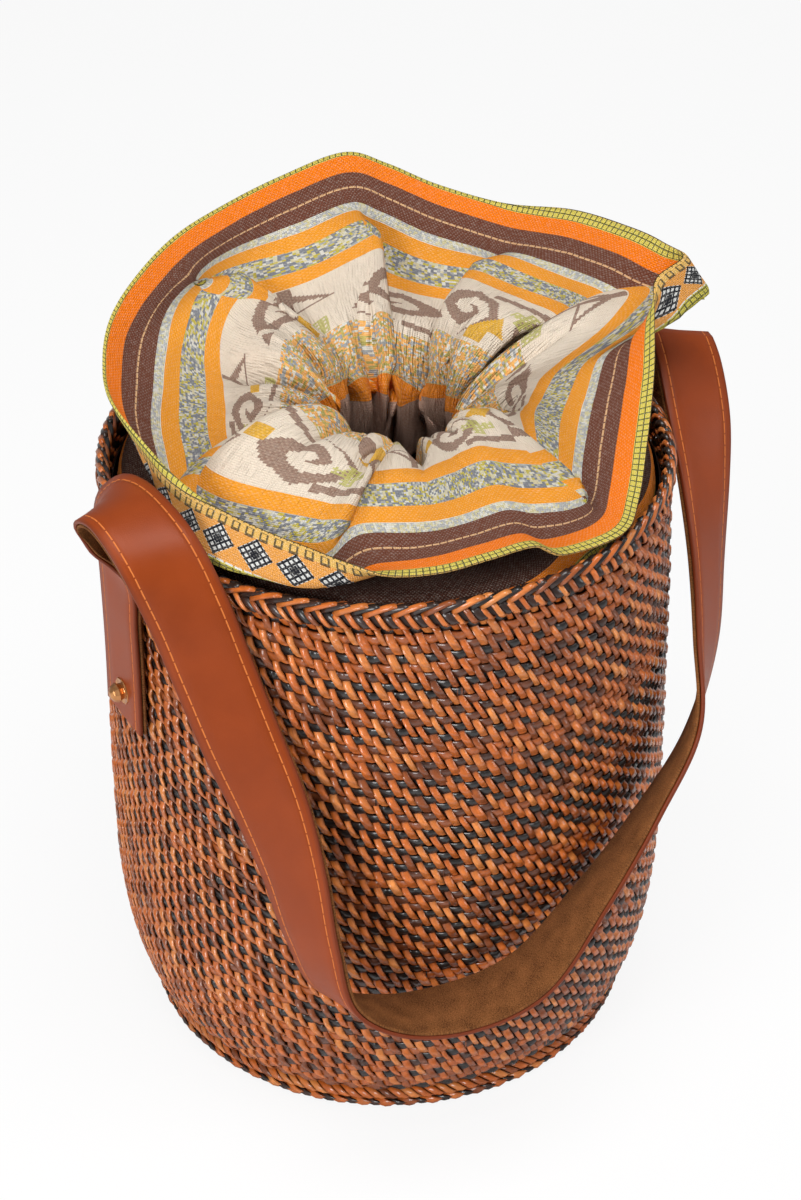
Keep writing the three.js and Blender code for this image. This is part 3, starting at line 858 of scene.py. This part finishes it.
# Big pleats, where the cloth laps over itself: angle at the hem and at the neck, width in
# degrees, lift in mm, on which side the upper layer lies, and where it starts (0 to 1)
pleats = (
    (67, 66, 8, 9, 1, 0.17), (116, 98, 12, 11, 1, 0.1), (-172, -176, 9, 5, 1, 0.25),
    (-139, -128, 8, 4, -1, 0.4), (-64, -72, 8, 5, -1, 0.18), (-6, 2, 7, 5, 1, 0.3),
    (30, 34, 7, 6, -1, 0.2),
)


def turn_from(middle, turn):
    """Angles from a middle, each from minus half a turn to half a turn."""
    return (turn - middle + math.pi) % (2 * math.pi) - math.pi


def eased_rows(rows):
    return np.array([eased(row, 4) for row in rows])


def collar_surface(length_shares):
    """The collar's inside face without its small folds, from the hem down through the neck, and
    how far each of its points lies from the hem along the cloth."""
    hem_out = np.hypot(hem_points[:, 0], hem_points[:, 1])
    hem_up, crest, puff, steep = hem_points[:, 2:].T

    def plain(share, lift=0.0):
        """A stop of the cloth on its way from the hem (0) to the neck (1), puffed up by its lift."""
        height = neck_top + (hem_up - neck_top) * (1 - share) ** steep + lift * puff
        return np.stack([hem_out + (neck_ring - hem_out) * share, height], axis=-1)

    def standing(out, down):
        """A stop of the crest's flap, smaller where the hem lies near the rim."""
        fit = np.clip((hem_up - 3.5) / 18.5, 0.1, 1)
        return np.stack([hem_out + out * fit, hem_up - down * fit], axis=-1)

    flat_stops = [
        plain(0), plain(0.12), plain(0.24), plain(0.38, 0.15), plain(0.55, 0.6), plain(0.76, 1.05),
        plain(0.92, 0.75),
    ]
    crest_stops = [
        standing(0, 0), standing(5.5, 8), standing(11, 17), standing(0, 18.5), plain(0.42, 0.7),
        plain(0.7, 1.15), plain(0.92, 0.8),
    ]
    stops = [flat + (high - flat) * crest[:, None] for flat, high in zip(flat_stops, crest_stops)]
    ring = np.full(collar_columns, neck_ring)
    for out, up in ((0, 1), (-1, -8), (0, -16), (2, -neck_tube)):
        stops.append(np.stack([ring + out, neck_top + 0 * ring + up], axis=-1))
    way_steps = 14
    way = smooth_way(stops, way_steps)
    neck_step = len(flat_stops) * way_steps
    share = np.minimum(np.arange(len(way)) / neck_step, 1)[:, None]
    turn = hem_turn + (neck_turn - hem_turn) * share
    lift = np.zeros_like(turn)
    for hem_angle, neck_angle, width, height, side, start in pleats:
        middle = np.radians(hem_angle + (neck_angle - hem_angle) * share)
        x = turn_from(middle, hem_turn + (neck_turn - hem_turn) * share) / math.radians(width)
        tuck = risen(share, start, start + 0.25) * (1 - 0.6 * risen(share, 0.85, 1))
        turn -= 2.4 * math.radians(width) * x * np.exp(-x * x / 2) * tuck
        lift += side * height * np.tanh(1.6 * x) * np.exp(-((x / 3.2) ** 2)) * tuck
    slide = share * neck_middle[:, None, None]
    out, up = way[..., 0], way[..., 1] + lift
    way = np.stack([out * np.cos(turn) + slide[0], out * np.sin(turn) + slide[1], up], axis=-1)
    run = np.linalg.norm(np.diff(way, axis=0), axis=-1)
    run = np.concatenate([np.zeros((1, collar_columns)), np.cumsum(run, axis=0)])
    run = eased_rows(run)
    to_neck = run[neck_step]
    plain_cloth = 50.0
    gathered = plain_cloth + (run - plain_cloth) * (elastic_at - plain_cloth) / (to_neck - plain_cloth)
    cloth = np.where(run < plain_cloth, run, gathered)
    cloth = np.where(run > to_neck, elastic_at + run - to_neck, cloth)
    points = np.empty((len(length_shares), collar_columns, 3))
    depth = np.empty((len(length_shares), collar_columns))
    for column in range(collar_columns):
        wanted = length_shares * run[-1, column]
        depth[:, column] = np.interp(wanted, run[:, column], cloth[:, column])
        points[:, column] = taken_at(wanted, run[:, column], way[:, column])
    return points, depth


def face_directions(points):
    """The direction away from the surface at each point of a ring of columns."""
    down = np.gradient(points, axis=0)
    round_it = np.roll(points, -3, axis=1) - np.roll(points, 3, axis=1)
    face = unit(np.cross(down, round_it))
    return face * np.sign(face[..., 2:].mean())


def rounded_folds(count, wobble, seed):
    """Round folds with narrow valleys between them."""
    phase = column_share * count + wobble * wavy(count // 2, seed)
    return np.abs(np.cos(math.pi * phase)) ** 0.7 * 2 - 1.3


row_share = np.linspace(0, 1, collar_rows)
collar_base, collar_depth = collar_surface(row_share)
face = face_directions(collar_base)
to_elastic = collar_depth / elastic_at
fine_folds = rounded_folds(23, 1.3, 3) * (1 + 0.45 * wavy(13, 4)) * 8.4 * bulge(to_elastic, 1.0, 0.3)
small_folds = rounded_folds(41, 0.8, 13) * (0.6 + 0.6 * wavy(15, 14)) * 1.8 * bulge(to_elastic, 0.86, 0.24)
wide_folds = rounded_folds(12, 0.8, 5) * (0.9 + 0.9 * wavy(7, 6)) * 7.5 * bulge(to_elastic, 0.74, 0.22)
soft_folds = wavy(9, 8) * 4.5 * bulge(to_elastic, 0.42, 0.25)
ripples = wavy(31, 9) * 1.3 * bulge(to_elastic, 0.5, 0.35)
lift = fine_folds + small_folds + wide_folds + soft_folds + ripples
collar_inside = collar_base + face * lift[..., None]

# The hem is turned down outside, each row of it behind the row as far from the fold inside
turned_steps = np.array([23, 21.5, 20, 18.5, 17, 15.5, 14, 12, 10, 8, 6, 4, 2.5, 1.2, 0.5])
turned = np.empty((len(turned_steps), collar_columns, 3))
for column in range(collar_columns):
    turned[:, column] = taken_at(turned_steps, collar_depth[:, column], collar_inside[:, column])
hem_gap = 1.5
roll = hem_gap * (1 - np.exp(-turned_steps / 0.8))
outward = face_directions(turned)
turned -= outward * roll[:, None, None]
collar_points = np.concatenate([turned, collar_inside]) * mm
collar_points[..., 2] += rim_top
around_cloth = np.arange(collar_columns + 1) / collar_columns * cloth_round
along_hem = np.broadcast_to(around_cloth, (len(collar_points), collar_columns + 1))
up_cloth = np.concatenate([np.broadcast_to(-turned_steps[:, None], turned.shape[:2]), collar_depth])
# The hem wasn't turned evenly: at the back and the left the bands lie further out
from_back = turn_from(math.radians(112), hem_turn)
up_cloth = up_cloth + 3.4 * (1 - risen(np.abs(from_back), math.radians(70), math.radians(95)))
up_cloth = np.concatenate([up_cloth, up_cloth[:, :1]], axis=1)
collar_places = np.stack([along_hem, up_cloth], axis=-1)

# Its print, in bands along the hem. The shapes keep to the threads, so their edges are stepped.
print_paint, along, up, threads = linen("printed_cloth")


def on_threads(value, size=thread):
    return (value / size).math("FLOOR") * size + size / 2


def within(value, middle, half):
    return (value - middle).math("ABSOLUTE") < half


def both(a, b):
    return a.math("MINIMUM", b)


def either(a, b):
    return a.math("MAXIMUM", b)


sway = print_paint.noise(print_paint.joined(along, up), 0.06, detail=1) - 0.5
x_place = on_threads(along + sway * 4)
y_place = on_threads(up + sway * 3)
speck = print_paint.node(
    "ShaderNodeTexWhiteNoise", {"noise_dimensions": "2D"}, Vector=print_paint.joined(x_place, y_place),
)
cluster = print_paint.noise(print_paint.joined(x_place, y_place), 0.4, detail=1)
grey_speckle = print_paint.ramp(
    (speck - 0.5) * 0.6 + (cluster - 0.5) * 1.4 + 0.5,
    (0, (0.2, 0.21, 0.24)), (0.38, (0.36, 0.37, 0.38)), (0.47, (0.66, 0.64, 0.58)),
    (0.57, (0.52, 0.43, 0.06)), (0.72, (0.62, 0.56, 0.36)),
    blend="CONSTANT",
)
warm_speckle = print_paint.ramp(
    (speck - 0.5) * 0.5 + (cluster - 0.5) * 1.9 + 0.5,
    (0, (0.36, 0.37, 0.38)), (0.3, (0.55, 0.44, 0.12)), (0.38, (0.86, 0.43, 0.12)),
    (0.54, (0.74, 0.7, 0.62)), (0.66, (0.86, 0.45, 0.13)), (0.8, (0.42, 0.36, 0.1)),
    blend="CONSTANT",
)
# The plain bands: where each starts, in mm from the cut edge of the turned hem up to the tube
# below the elastic, and its colour
bands_below = 30
bands_high = 150
bands = (
    (0, (0.6, 0.52, 0.07)), (13.5, (0.78, 0.34, 0.07)), (26, (0.78, 0.47, 0.12)),
    (30, (0.72, 0.6, 0.1)), (34.8, (0.93, 0.2, 0.0)), (42, (0.15, 0.048, 0.027)),
    (55, (0.75, 0.75, 0.7)), (59, (0.87, 0.33, 0.02)), (66, (0.45, 0.47, 0.45)),
    (76, (0.87, 0.33, 0.02)), (83, (0.78, 0.66, 0.53)), (114, (0.6, 0.5, 0.25)),
    (136, (0.85, 0.25, 0.01)), (142, (0.5, 0.31, 0.23)),
)
plain_bands = print_paint.ramp(
    (up + sway * 0.7 + bands_below) / bands_high,
    *[(start / bands_high, color) for start, color in bands],
    blend="CONSTANT",
)
pale_band = within(up, 27, 2)
middle_band = within(up, 41, 5)
gathered_band = within(up, 95, 11)
printed = print_paint.mix(plain_bands, grey_speckle, either(pale_band * 0.6, middle_band))
printed = print_paint.mix(printed, warm_speckle, gathered_band)

# The cream band carries brown hooks, arrows and bars, ochre squares and green crosses
motif_repeat = 100
motif_wide = 70
cream_middle = 68.5
cell_x = (x_place / motif_repeat).math("FRACT") * motif_wide
cell_y = y_place - cream_middle


def hook(middle_x, middle_y, way):
    """A spiral line, square at its corners."""
    x, y = (cell_x - middle_x) * way, cell_y - middle_y
    wide, high = x.math("ABSOLUTE"), y.math("ABSOLUTE")
    reach = (wide + high) * 0.6 + wide.math("MAXIMUM", high) * 0.35
    turn = y.math("ARCTAN2", x) / (2 * math.pi)
    line = (reach / 8.5 - turn).math("FRACT") < 0.56
    return both(line, within(reach, 6.4, 4.4))


def bar(middle_x, middle_y, half_long, half_wide, lean):
    x, y = cell_x - middle_x, cell_y - middle_y
    return both(within(x, 0, half_long), within(y - x * lean, 0, half_wide))


def wedge(middle_x, middle_y, half_wide, length):
    x, y = (cell_x - middle_x).math("ABSOLUTE"), (cell_y - middle_y) / length
    return both(x < y * half_wide, within(y, 0.5, 0.5))


arrow = either(both(within(cell_x, 10, 1.3), within(cell_y, -2, 13)), wedge(10, -12, 8, 11))
arrow = both(arrow, 1 - both(wedge(10, -8, 6, 6), 1 - within(cell_x, 10, 1.1)))
brown_shapes = either(either(arrow, hook(31, -1, 1)), either(hook(57, 3, -1), bar(44, -10, 9, 1.5, 0.2)))
brown_shapes = either(brown_shapes, either(bar(22, 12, 7, 1.2, -0.3), wedge(67, 6, 3, 5)))
ochre_shapes = either(bar(20, 2, 2.6, 2.6, 0.0), either(wedge(45, 1, 5, 7), bar(48, 11, 3, 3, 0.0)))
green_shapes = either(bar(41, -3, 4.5, 1.6, 0.0), bar(41, -3, 1.6, 4.5, 0.0))
green_shapes = either(green_shapes, both(within(cell_x, 10, 5), within(cell_y, 12, 3.5)))
cream_band = within(up, cream_middle, 15)
lattice = either((cell_x / 1.6).math("FRACT") < 0.5, (cell_y / 1.6).math("FRACT") < 0.5)
brown_print = both(brown_shapes, cream_band) * (0.8 + threads * 0.15)
ochre_print = both(ochre_shapes, cream_band) * 0.95
green_print = both(both(green_shapes, lattice), cream_band) * 0.85
printed = print_paint.mix(printed, (0.2, 0.085, 0.05), brown_print)
printed = print_paint.mix(printed, (0.72, 0.38, 0.02), ochre_print)
printed = print_paint.mix(printed, (0.5, 0.46, 0.12), green_print)
# Outside, below the hem, a row of black and white latticed diamonds, and small ticks above them
diamond_pitch = 14.58
diamond_level = 9.4
diamond_x = ((along / diamond_pitch).math("FRACT") - 0.5) * diamond_pitch
diamond_y = up + diamond_level
from_middle = diamond_x.math("ABSOLUTE") * 0.85 + diamond_y.math("ABSOLUTE")
diamond = from_middle < 5.8
crossed = ((diamond_x * 0.85 + diamond_y) / 2.5 + 0.2).math("FRACT") < 0.4
crossed = either(crossed, ((diamond_x * 0.85 - diamond_y) / 2.5 + 0.2).math("FRACT") < 0.4)
crossed = either(crossed, from_middle < 1.8)
printed = print_paint.mix(printed, (0.7, 0.7, 0.68), diamond)
printed = print_paint.mix(printed, (0.012, 0.014, 0.02), both(diamond, crossed))
tick_pitch = 5.6
from_tick = ((along / tick_pitch).math("FRACT") - 0.5).math("ABSOLUTE")
ticks = both(within(up, -2.6, 1.6), from_tick < 0.3)
ticks = both(ticks, 1 - both(within(up, -2.2, 1.0), from_tick < 0.16))
printed = print_paint.mix(printed, (0.03, 0.03, 0.02), ticks * 0.85)
# The yellow band at the hem is checked in dark olive, and so is the cut edge outside
check_pitch = 2.45
olive = (0.05, 0.055, 0.02)
check = either((along / check_pitch).math("FRACT") < 0.2, ((up + 0.2) / check_pitch).math("FRACT") < 0.2)
checked_band = either(within(up, 2.2, 2.8), within(up, -18.4, 1.9))
printed = print_paint.mix(printed, olive, both(check, checked_band) * 0.9)
# The seam that holds the turned hem shows on both faces
seam_stitch = (along / 3.4).math("FRACT")
seam_inside = both(within(up + sway, 18.6, 0.4), seam_stitch > 0.15)
seam_outside = both(within(up + sway, -15.9, 0.3), seam_stitch > 0.2)
printed = print_paint.mix(printed, (0.68, 0.4, 0.2), seam_inside)
printed = print_paint.mix(printed, (0.8, 0.8, 0.76), seam_outside)
# Creases run up the cloth from the elastic and fade out towards the hem
creases = print_paint.noise(print_paint.joined(along * 0.3, up * 0.055), 1.0, detail=3, roughness=0.6)
crease_depth = ((up - 22) / 70).math("MAXIMUM", 0.06).math("MINIMUM", 1.0)
creases = (creases - 0.5).math("ABSOLUTE") * 3 * crease_depth
collar = cloth_piece(
    "collar_ruffle", collar_points, collar_places, cloth_thickness,
    woven(print_paint, along, up, threads, printed, creases),
    ("collar", "neck_casing", "neck_elastic"),
)
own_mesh(collar)


# The sleeve: below the neck the same cloth spreads out over the mouth and goes down inside the
# rim, where it is sewn to the lining. Its gathers fade out towards the rim.
sleeve_steps = np.linspace(0, 1, 30)
sleeve_stops = np.array([
    (36, 250.6), (44, 251.2), (58, 252.8), (72, 254.4), (86, 255.7), (95, 256.4), (100.5, 255.6),
    (103.3, 252.4), (104.2, 247.5), (104.4, 243.9),
])
sleeve_run = run_along(sleeve_stops)
sleeve_length = sleeve_run[-1]
sleeve_out, sleeve_up = taken_at(sleeve_steps * sleeve_length, sleeve_run, sleeve_stops).T[..., None]
to_rim = sleeve_steps[:, None]
sleeve_lift = rounded_folds(27, 1.1, 3) * 2.6 * (1 - risen(to_rim, 0.15, 0.8))
sleeve_lift += wavy(17, 21) * 1.1 * bulge(to_rim, 0.55, 0.3)


def on_rings(out, up):
    """Points at even angles round the bag, from the distances out and the heights of their rings."""
    return np.stack([out * np.cos(even_turn), out * np.sin(even_turn), up + 0 * out], axis=-1)


sleeve_points = on_rings(sleeve_out, sleeve_up + sleeve_lift)
# The print's plain edge shows over the rim at one place, at the right of the front
from_front = turn_from(math.radians(-72), even_turn)
drawn_up = 9 * bulge(from_front, 0, math.radians(13))
sleeve_up_cloth = (1 - to_rim) * sleeve_length - drawn_up
sleeve_places = np.stack([
    np.broadcast_to(around_cloth, (len(sleeve_steps), collar_columns + 1)),
    np.concatenate([sleeve_up_cloth, sleeve_up_cloth[:, :1]], axis=1),
], axis=-1)
sleeve_paint, along, up, threads = linen("sleeve_cloth")
sleeve_color = sleeve_paint.ramp(
    (up + 50) / 150,
    (0, (0.6, 0.5, 0.08)), (53 / 150, (0.88, 0.24, 0.012)), (60 / 150, (0.06, 0.018, 0.01)),
    blend="CONSTANT",
)
sleeve_check = either((along / check_pitch).math("FRACT") < 0.2, (up / check_pitch).math("FRACT") < 0.2)
sleeve_color = sleeve_paint.mix(sleeve_color, olive, both(sleeve_check, up < 3) * 0.9)
sleeve = cloth_piece(
    "sleeve_cloth", sleeve_points * mm, sleeve_places, cloth_thickness,
    woven(sleeve_paint, along, up, threads, sleeve_color), ("collar_sleeve",),
)


# The lining: a loose bag of plain brown linen inside the wall. It is sewn to the sleeve under
# the rim, and its round bottom lies on the floor.
lining_heights, lining_radii = outline_of("lining_wall")
lining_thickness = 0.6 * mm
lining_paint, along, up, threads = linen("lining_cloth")
lining_blotch = lining_paint.noise(lining_paint.object_place(), 30.0)
lining_color = lining_paint.mix((0.07, 0.024, 0.015), (0.11, 0.042, 0.028), lining_blotch)
lining_finish = woven(lining_paint, along, up, threads, lining_color)
lining_low, lining_high = lining_heights[0], lining_heights[-1]
lining_steps = np.linspace(0, 1, 40)[:, None]
lining_up = lining_low + (lining_high - lining_low) * lining_steps
lining_creases = 1.2 * mm * (wavy(19, 31) * (1 - lining_steps) + wavy(13, 32) * lining_steps + 1)
lining_out = np.interp(lining_up, lining_heights, lining_radii) - 0.9 * mm - lining_creases
lining_points = on_rings(lining_out, lining_up)
lining_tall = lining_high - lining_low
lining_places = np.stack(np.broadcast_arrays(around_cloth[None], lining_steps * lining_tall / mm), axis=-1)
lining_wall = cloth_piece(
    "lining_wall_cloth", lining_points, lining_places, lining_thickness,
    lining_finish, ("lining_wall",),
)

bottom_low, bottom_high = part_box("lining_floor")
bottom_level = (bottom_low[2] + bottom_high[2]) / 2
bottom_steps = np.linspace(0.002, 1, 26)[:, None]
bottom_out = bottom_steps * (bottom_high[0] - 0.8 * mm)
bottom_up = bottom_level - 0.3 * mm + 0.25 * mm * wavy(11, 33) * bottom_steps**2
bottom_points = on_rings(bottom_out, bottom_up)
bottom_around = np.arange(collar_columns + 1) / collar_columns * 2 * math.pi
bottom_places = np.stack([bottom_out * np.cos(bottom_around), bottom_out * np.sin(bottom_around)], axis=-1)
lining_floor = cloth_piece(
    "lining_floor_cloth", bottom_points, bottom_places / mm, lining_thickness,
    lining_finish, ("lining_floor",),
)


# The strap: one long leather belt, a smooth leather ply and a suede ply sewn together along
# both edges with orange thread. Its ends are riveted flat on the wall, and above them it
# folds over to the front and hangs down in a loop.
strap_width = 30
smooth_ply = 1.7
suede_ply = 1.3
ply_gap = 0.3
tab_gap = 1.75
tab_lift = 1.6
rivet_level = 183
tab_levels = (171, rivet_level, 199.5, 218.75, 238)


def tab_stops(side):
    """The end of the belt, flat on the wall and leaning off it a little towards the top."""
    stops = []
    for level in tab_levels:
        wall = np.interp(level * mm, wall_heights, wall_radii) / mm
        lift = tab_lift * ((level - rivet_level) / 55) ** 2
        stops.append((side * (wall + tab_gap + lift), 0, level, 0, 1, 0))
    return stops


# Between the tabs: places along the middle of the belt, and the direction across it there
loop_stops = [
    (-118, 0, 252, 0.2, 0.97, 0.1), (-121, -3, 265, 0.55, 0.83, 0.1),
    (-121, -9, 275, 0.8, 0.6, 0.03), (-120, -24, 280, 0.92, 0.36, 0.08),
    (-117, -42, 273, 0.96, 0.05, 0.22), (-111, -53, 252, 0.9, -0.28, 0.36),
    (-106, -61, 228, 0.87, -0.36, 0.4), (-101, -71, 202, 0.82, -0.4, 0.43),
    (-95, -81, 175, 0.67, -0.56, 0.45), (-91, -90, 148, 0.48, -0.76, 0.42),
    (-89, -100, 120, 0.28, -0.88, 0.38), (-84, -109, 97, 0.06, -0.92, 0.37),
    (-66, -118, 86, -0.18, -0.94, 0.26), (-40, -127, 85, -0.22, -0.96, 0.14),
    (-14, -133, 94, -0.1, -0.97, 0.2), (16, -129, 117, -0.14, -0.88, 0.44),
    (48, -119, 139, -0.2, -0.76, 0.62), (77, -106, 160, -0.36, -0.67, 0.65),
    (94, -88, 186, -0.68, -0.46, 0.57), (105, -70, 212, -0.81, -0.38, 0.45),
    (113, -54, 237, -0.92, -0.18, 0.33), (121, -36, 257, -0.97, 0.08, 0.24),
    (127, -18, 272, -0.97, 0.1, 0.23), (129, -9, 275, -0.95, 0.1, 0.28),
    (126, -3, 266, -0.83, 0.42, 0.36), (121, -1, 253, -0.5, 0.8, 0.3),
]


def open_curve(stops, step):
    """Even steps along a smooth curve through the stops, whatever lies between them."""
    stops = np.array(stops, dtype=float)
    stops = np.concatenate([[2 * stops[0] - stops[1]], stops, [2 * stops[-1] - stops[-2]]])
    pieces = []
    for a, b, c, d in zip(stops, stops[1:], stops[2:], stops[3:]):
        gaps = [math.sqrt(np.linalg.norm(q[:3] - p[:3])) for p, q in ((a, b), (b, c), (c, d))]
        t0, t1, t2, t3 = np.cumsum([0, *gaps])
        t = np.linspace(t1, t2, 24, endpoint=False)[:, None]
        ab = (a * (t1 - t) + b * (t - t0)) / (t1 - t0)
        bc = (b * (t2 - t) + c * (t - t1)) / (t2 - t1)
        cd = (c * (t3 - t) + d * (t - t2)) / (t3 - t2)
        near = (ab * (t2 - t) + bc * (t - t0)) / (t2 - t0)
        far = (bc * (t3 - t) + cd * (t - t1)) / (t3 - t1)
        pieces.append((near * (t2 - t) + far * (t - t1)) / (t2 - t1))
    fine = np.concatenate([*pieces, stops[-2:-1]])
    run = run_along(fine[:, :3])
    wanted = np.linspace(0, run[-1], int(run[-1] / step) + 1)
    return taken_at(wanted, run, fine), wanted


belt, belt_run = open_curve([*tab_stops(-1), *loop_stops, *tab_stops(1)[::-1]], 2.5)
belt_middle = belt[:, :3]
belt_along = unit(np.gradient(belt_middle, axis=0))
belt_across = unit(belt[:, 3:] - belt_along * (belt[:, 3:] * belt_along).sum(axis=1)[:, None])
belt_out = np.cross(belt_along, belt_across)

leather_paint = Paint("brown_leather", Coat_Roughness=0.35, Specular_IOR_Level=0.2)
place = leather_paint.map_place()
across, along, _ = leather_paint.parts(place)
pores = leather_paint.node("ShaderNodeTexVoronoi", {"feature": "DISTANCE_TO_EDGE"}, Vector=place, Scale=1.5)
cloudy = leather_paint.noise(place, 0.05, detail=4)
from_edge = strap_width / 2 - across.math("ABSOLUTE")
seam_inset = 3.6
from_seam = (from_edge - seam_inset).math("ABSOLUTE")
stitch = (from_seam < 0.27) * ((along / 4.6).math("FRACT") > 0.12)
groove = (1 - from_seam / 1.1).math("MAXIMUM", 0.0)
worn_edge = (1 - from_edge / 1.6).math("MAXIMUM", 0.0)
leather_color = leather_paint.mix((0.2, 0.03, 0.0025), (0.31, 0.05, 0.005), cloudy)
leather_color = leather_paint.mix(leather_color, (0.17, 0.03, 0.008), worn_edge)
leather_color = leather_paint.mix(leather_color, (0.62, 0.17, 0.035), stitch)
leather_finish = leather_paint.finish(
    color=leather_color,
    roughness=0.36 + cloudy * 0.18 + stitch * 0.3,
    coat=0.07,
    height=pores.math("MINIMUM", 0.25) * 0.5 - groove * 0.9 + stitch * 0.8,
    depth=0.3 * mm,
    strength=0.7,
)
suede_paint = Paint("suede_ply", Roughness=0.95, Specular_IOR_Level=0.15)
place = suede_paint.map_place()
nap = suede_paint.noise(place, 1.8, detail=4, roughness=0.75)
brushed = suede_paint.noise(place, 0.12, detail=3)
suede_color = suede_paint.mix((0.07, 0.024, 0.007), (0.3, 0.115, 0.035), (nap - 0.5) * 3.6 + brushed)
suede_finish = suede_paint.finish(color=suede_color, height=nap, depth=0.5 * mm)


def belt_piece(name, first, last, inner, outer, finish, nodes=()):
    """A stretch of one ply of the belt, with its rounded edges, from one height to another."""
    edge = 0.35
    half = strap_width / 2
    offsets = np.array([
        (-half + edge, inner), (-half, inner + edge), (-half, outer - edge), (-half + edge, outer),
        (-half / 2, outer), (0, outer), (half / 2, outer),
        (half - edge, outer), (half, outer - edge), (half, inner + edge), (half - edge, inner), (0, inner),
    ])
    rings = (
        belt_middle[first:last, None]
        + belt_across[first:last, None] * offsets[None, :, :1]
        + belt_out[first:last, None] * offsets[None, :, 1:]
    )
    stations, sides = rings.shape[:2]
    faces = []
    marks = []
    for station in range(stations - 1):
        for side in range(sides):
            after = (side + 1) % sides
            faces.append([
                station * sides + side, (station + 1) * sides + side,
                (station + 1) * sides + after, station * sides + after,
            ])
            here, there = belt_run[first + station], belt_run[first + station + 1]
            left, right = offsets[side, 0], offsets[after, 0]
            marks += [(left, here), (left, there), (right, there), (right, here)]
    for station in (0, stations - 1):
        faces.append([station * sides + side for side in range(sides)])
        marks += [(offset, belt_run[first + station]) for offset in offsets[:, 0]]
    data = bpy.data.meshes.new(name)
    data.from_pydata((rings.reshape(-1, 3) * mm).tolist(), [], faces)
    layer = data.uv_layers.new(name="cloth")
    layer.data.foreach_set("uv", np.array(marks).ravel())
    mesh = bmesh.new()
    mesh.from_mesh(data)
    bmesh.ops.recalc_face_normals(mesh, faces=mesh.faces)
    mesh.to_mesh(data)
    mesh.free()
    piece = add_piece(data, finish)
    data.set_sharp_from_angle(angle=math.radians(50))
    if nodes:
        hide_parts(*nodes)
    return piece


def station_near(point):
    return int(np.linalg.norm(belt_middle - np.array(point), axis=1).argmin())


# The tabs go with the root and the loop with the strap; the two folds between them are fixed pieces joined
# to neither
left_tab_end = station_near(tab_stops(-1)[-1][:3])
left_hang = station_near(loop_stops[5][:3])
right_hang = station_near(loop_stops[-6][:3])
right_tab_end = station_near(tab_stops(1)[-1][:3])
plies = (
    ("leather", ply_gap / 2, ply_gap / 2 + smooth_ply, leather_finish, "leather", "outer_ply"),
    ("suede", -ply_gap / 2 - suede_ply, -ply_gap / 2, suede_finish, "suede", "inner_ply"),
)
for ply, inner, outer, finish, slot, node in plies:
    left_tab = belt_piece(
        f"{ply}_left_tab", 0, left_tab_end + 1, inner, outer, finish, (f"left_end_{node}",),
    )
    right_tab = belt_piece(
        f"{ply}_right_tab", right_tab_end, len(belt), inner, outer, finish, (f"right_end_{node}",),
    )
    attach(left_tab, "root")
    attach(right_tab, "root")
    loop = belt_piece(
        f"{ply}_loop", left_hang, right_hang + 1, inner, outer, finish, (f"strap_{node}",),
    )
    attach(loop, "strap")
    left_fold = belt_piece(f"{ply}_left_fold", left_tab_end, left_hang + 1, inner, outer, finish)
    right_fold = belt_piece(f"{ply}_right_fold", right_hang, right_tab_end + 1, inner, outer, finish)
    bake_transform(left_fold)
    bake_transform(right_fold)


# The rivets: a facetted brass knob on a flared ring at each end of the strap, closed on a flat
# cap inside the bag. They hold both plies to the wall.
rivet_facets = 10
brass_paint = Paint("worn_brass", Metallic=1.0)
worn = brass_paint.noise(brass_paint.object_place(), 900.0, detail=4)
tarnish = brass_paint.noise(brass_paint.object_place(), 250.0)
brass_finish = brass_paint.finish(
    color=brass_paint.mix((0.62, 0.3, 0.12), (0.3, 0.1, 0.04), (tarnish - 0.35) * 1.6),
    roughness=0.22 + worn * 0.25,
    height=worn,
    depth=0.05 * mm,
)


def rivet_head(name, low, high, away, profile, node):
    """A head turned about an axis through the wall, from a profile in shares of its node's box."""
    reach = (high[1] - low[1]) / 2
    tall = high[0] - low[0]
    mesh = spun([(out * reach, up * tall) for out, up in profile], rivet_facets, closed=False)
    bmesh.ops.remove_doubles(mesh, verts=mesh.verts, dist=0.01 * mm)
    bmesh.ops.recalc_face_normals(mesh, faces=mesh.faces)
    bmesh.ops.bevel(
        mesh, geom=mesh.edges, offset=0.12 * mm, segments=1, profile=0.5, affect="EDGES", material=-1,
    )
    face = low[0] if away > 0 else high[0]
    place = Matrix.Translation((face, (low[1] + high[1]) / 2, (low[2] + high[2]) / 2))
    tipped = Vector((0, 0, away)).rotation_difference(Vector((1, 0, 0))).to_matrix().to_4x4()
    mesh.transform(place @ tipped)
    piece = add_piece(data_of(name, mesh), brass_finish, smooth=False)
    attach(piece, "root")
    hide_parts(node)


dome = (
    (0, 0), (0.42, 0), (0.42, 0.62), (1.05, 0.62), (1.22, 0.68), (1.18, 0.73), (0.95, 0.71), (0.7, 0.71),
    (0.74, 0.8), (0.88, 0.88), (0.66, 1.05), (0.3, 1.13), (0, 1.14),
)
cap = ((0, 0.55), (0.45, 0.55), (0.45, 0), (0.9, 0), (1, 0.3), (0.9, 0.75), (0.5, 0.95), (0, 1))
for side, away in (("left", -1), ("right", 1)):
    rivet_head(f"{side}_rivet_dome", *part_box(f"{side}_rivet"), away, dome, f"{side}_rivet")
    rivet_head(f"{side}_rivet_back", *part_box(f"{side}_rivet_cap"), -away, cap, f"{side}_rivet_cap")
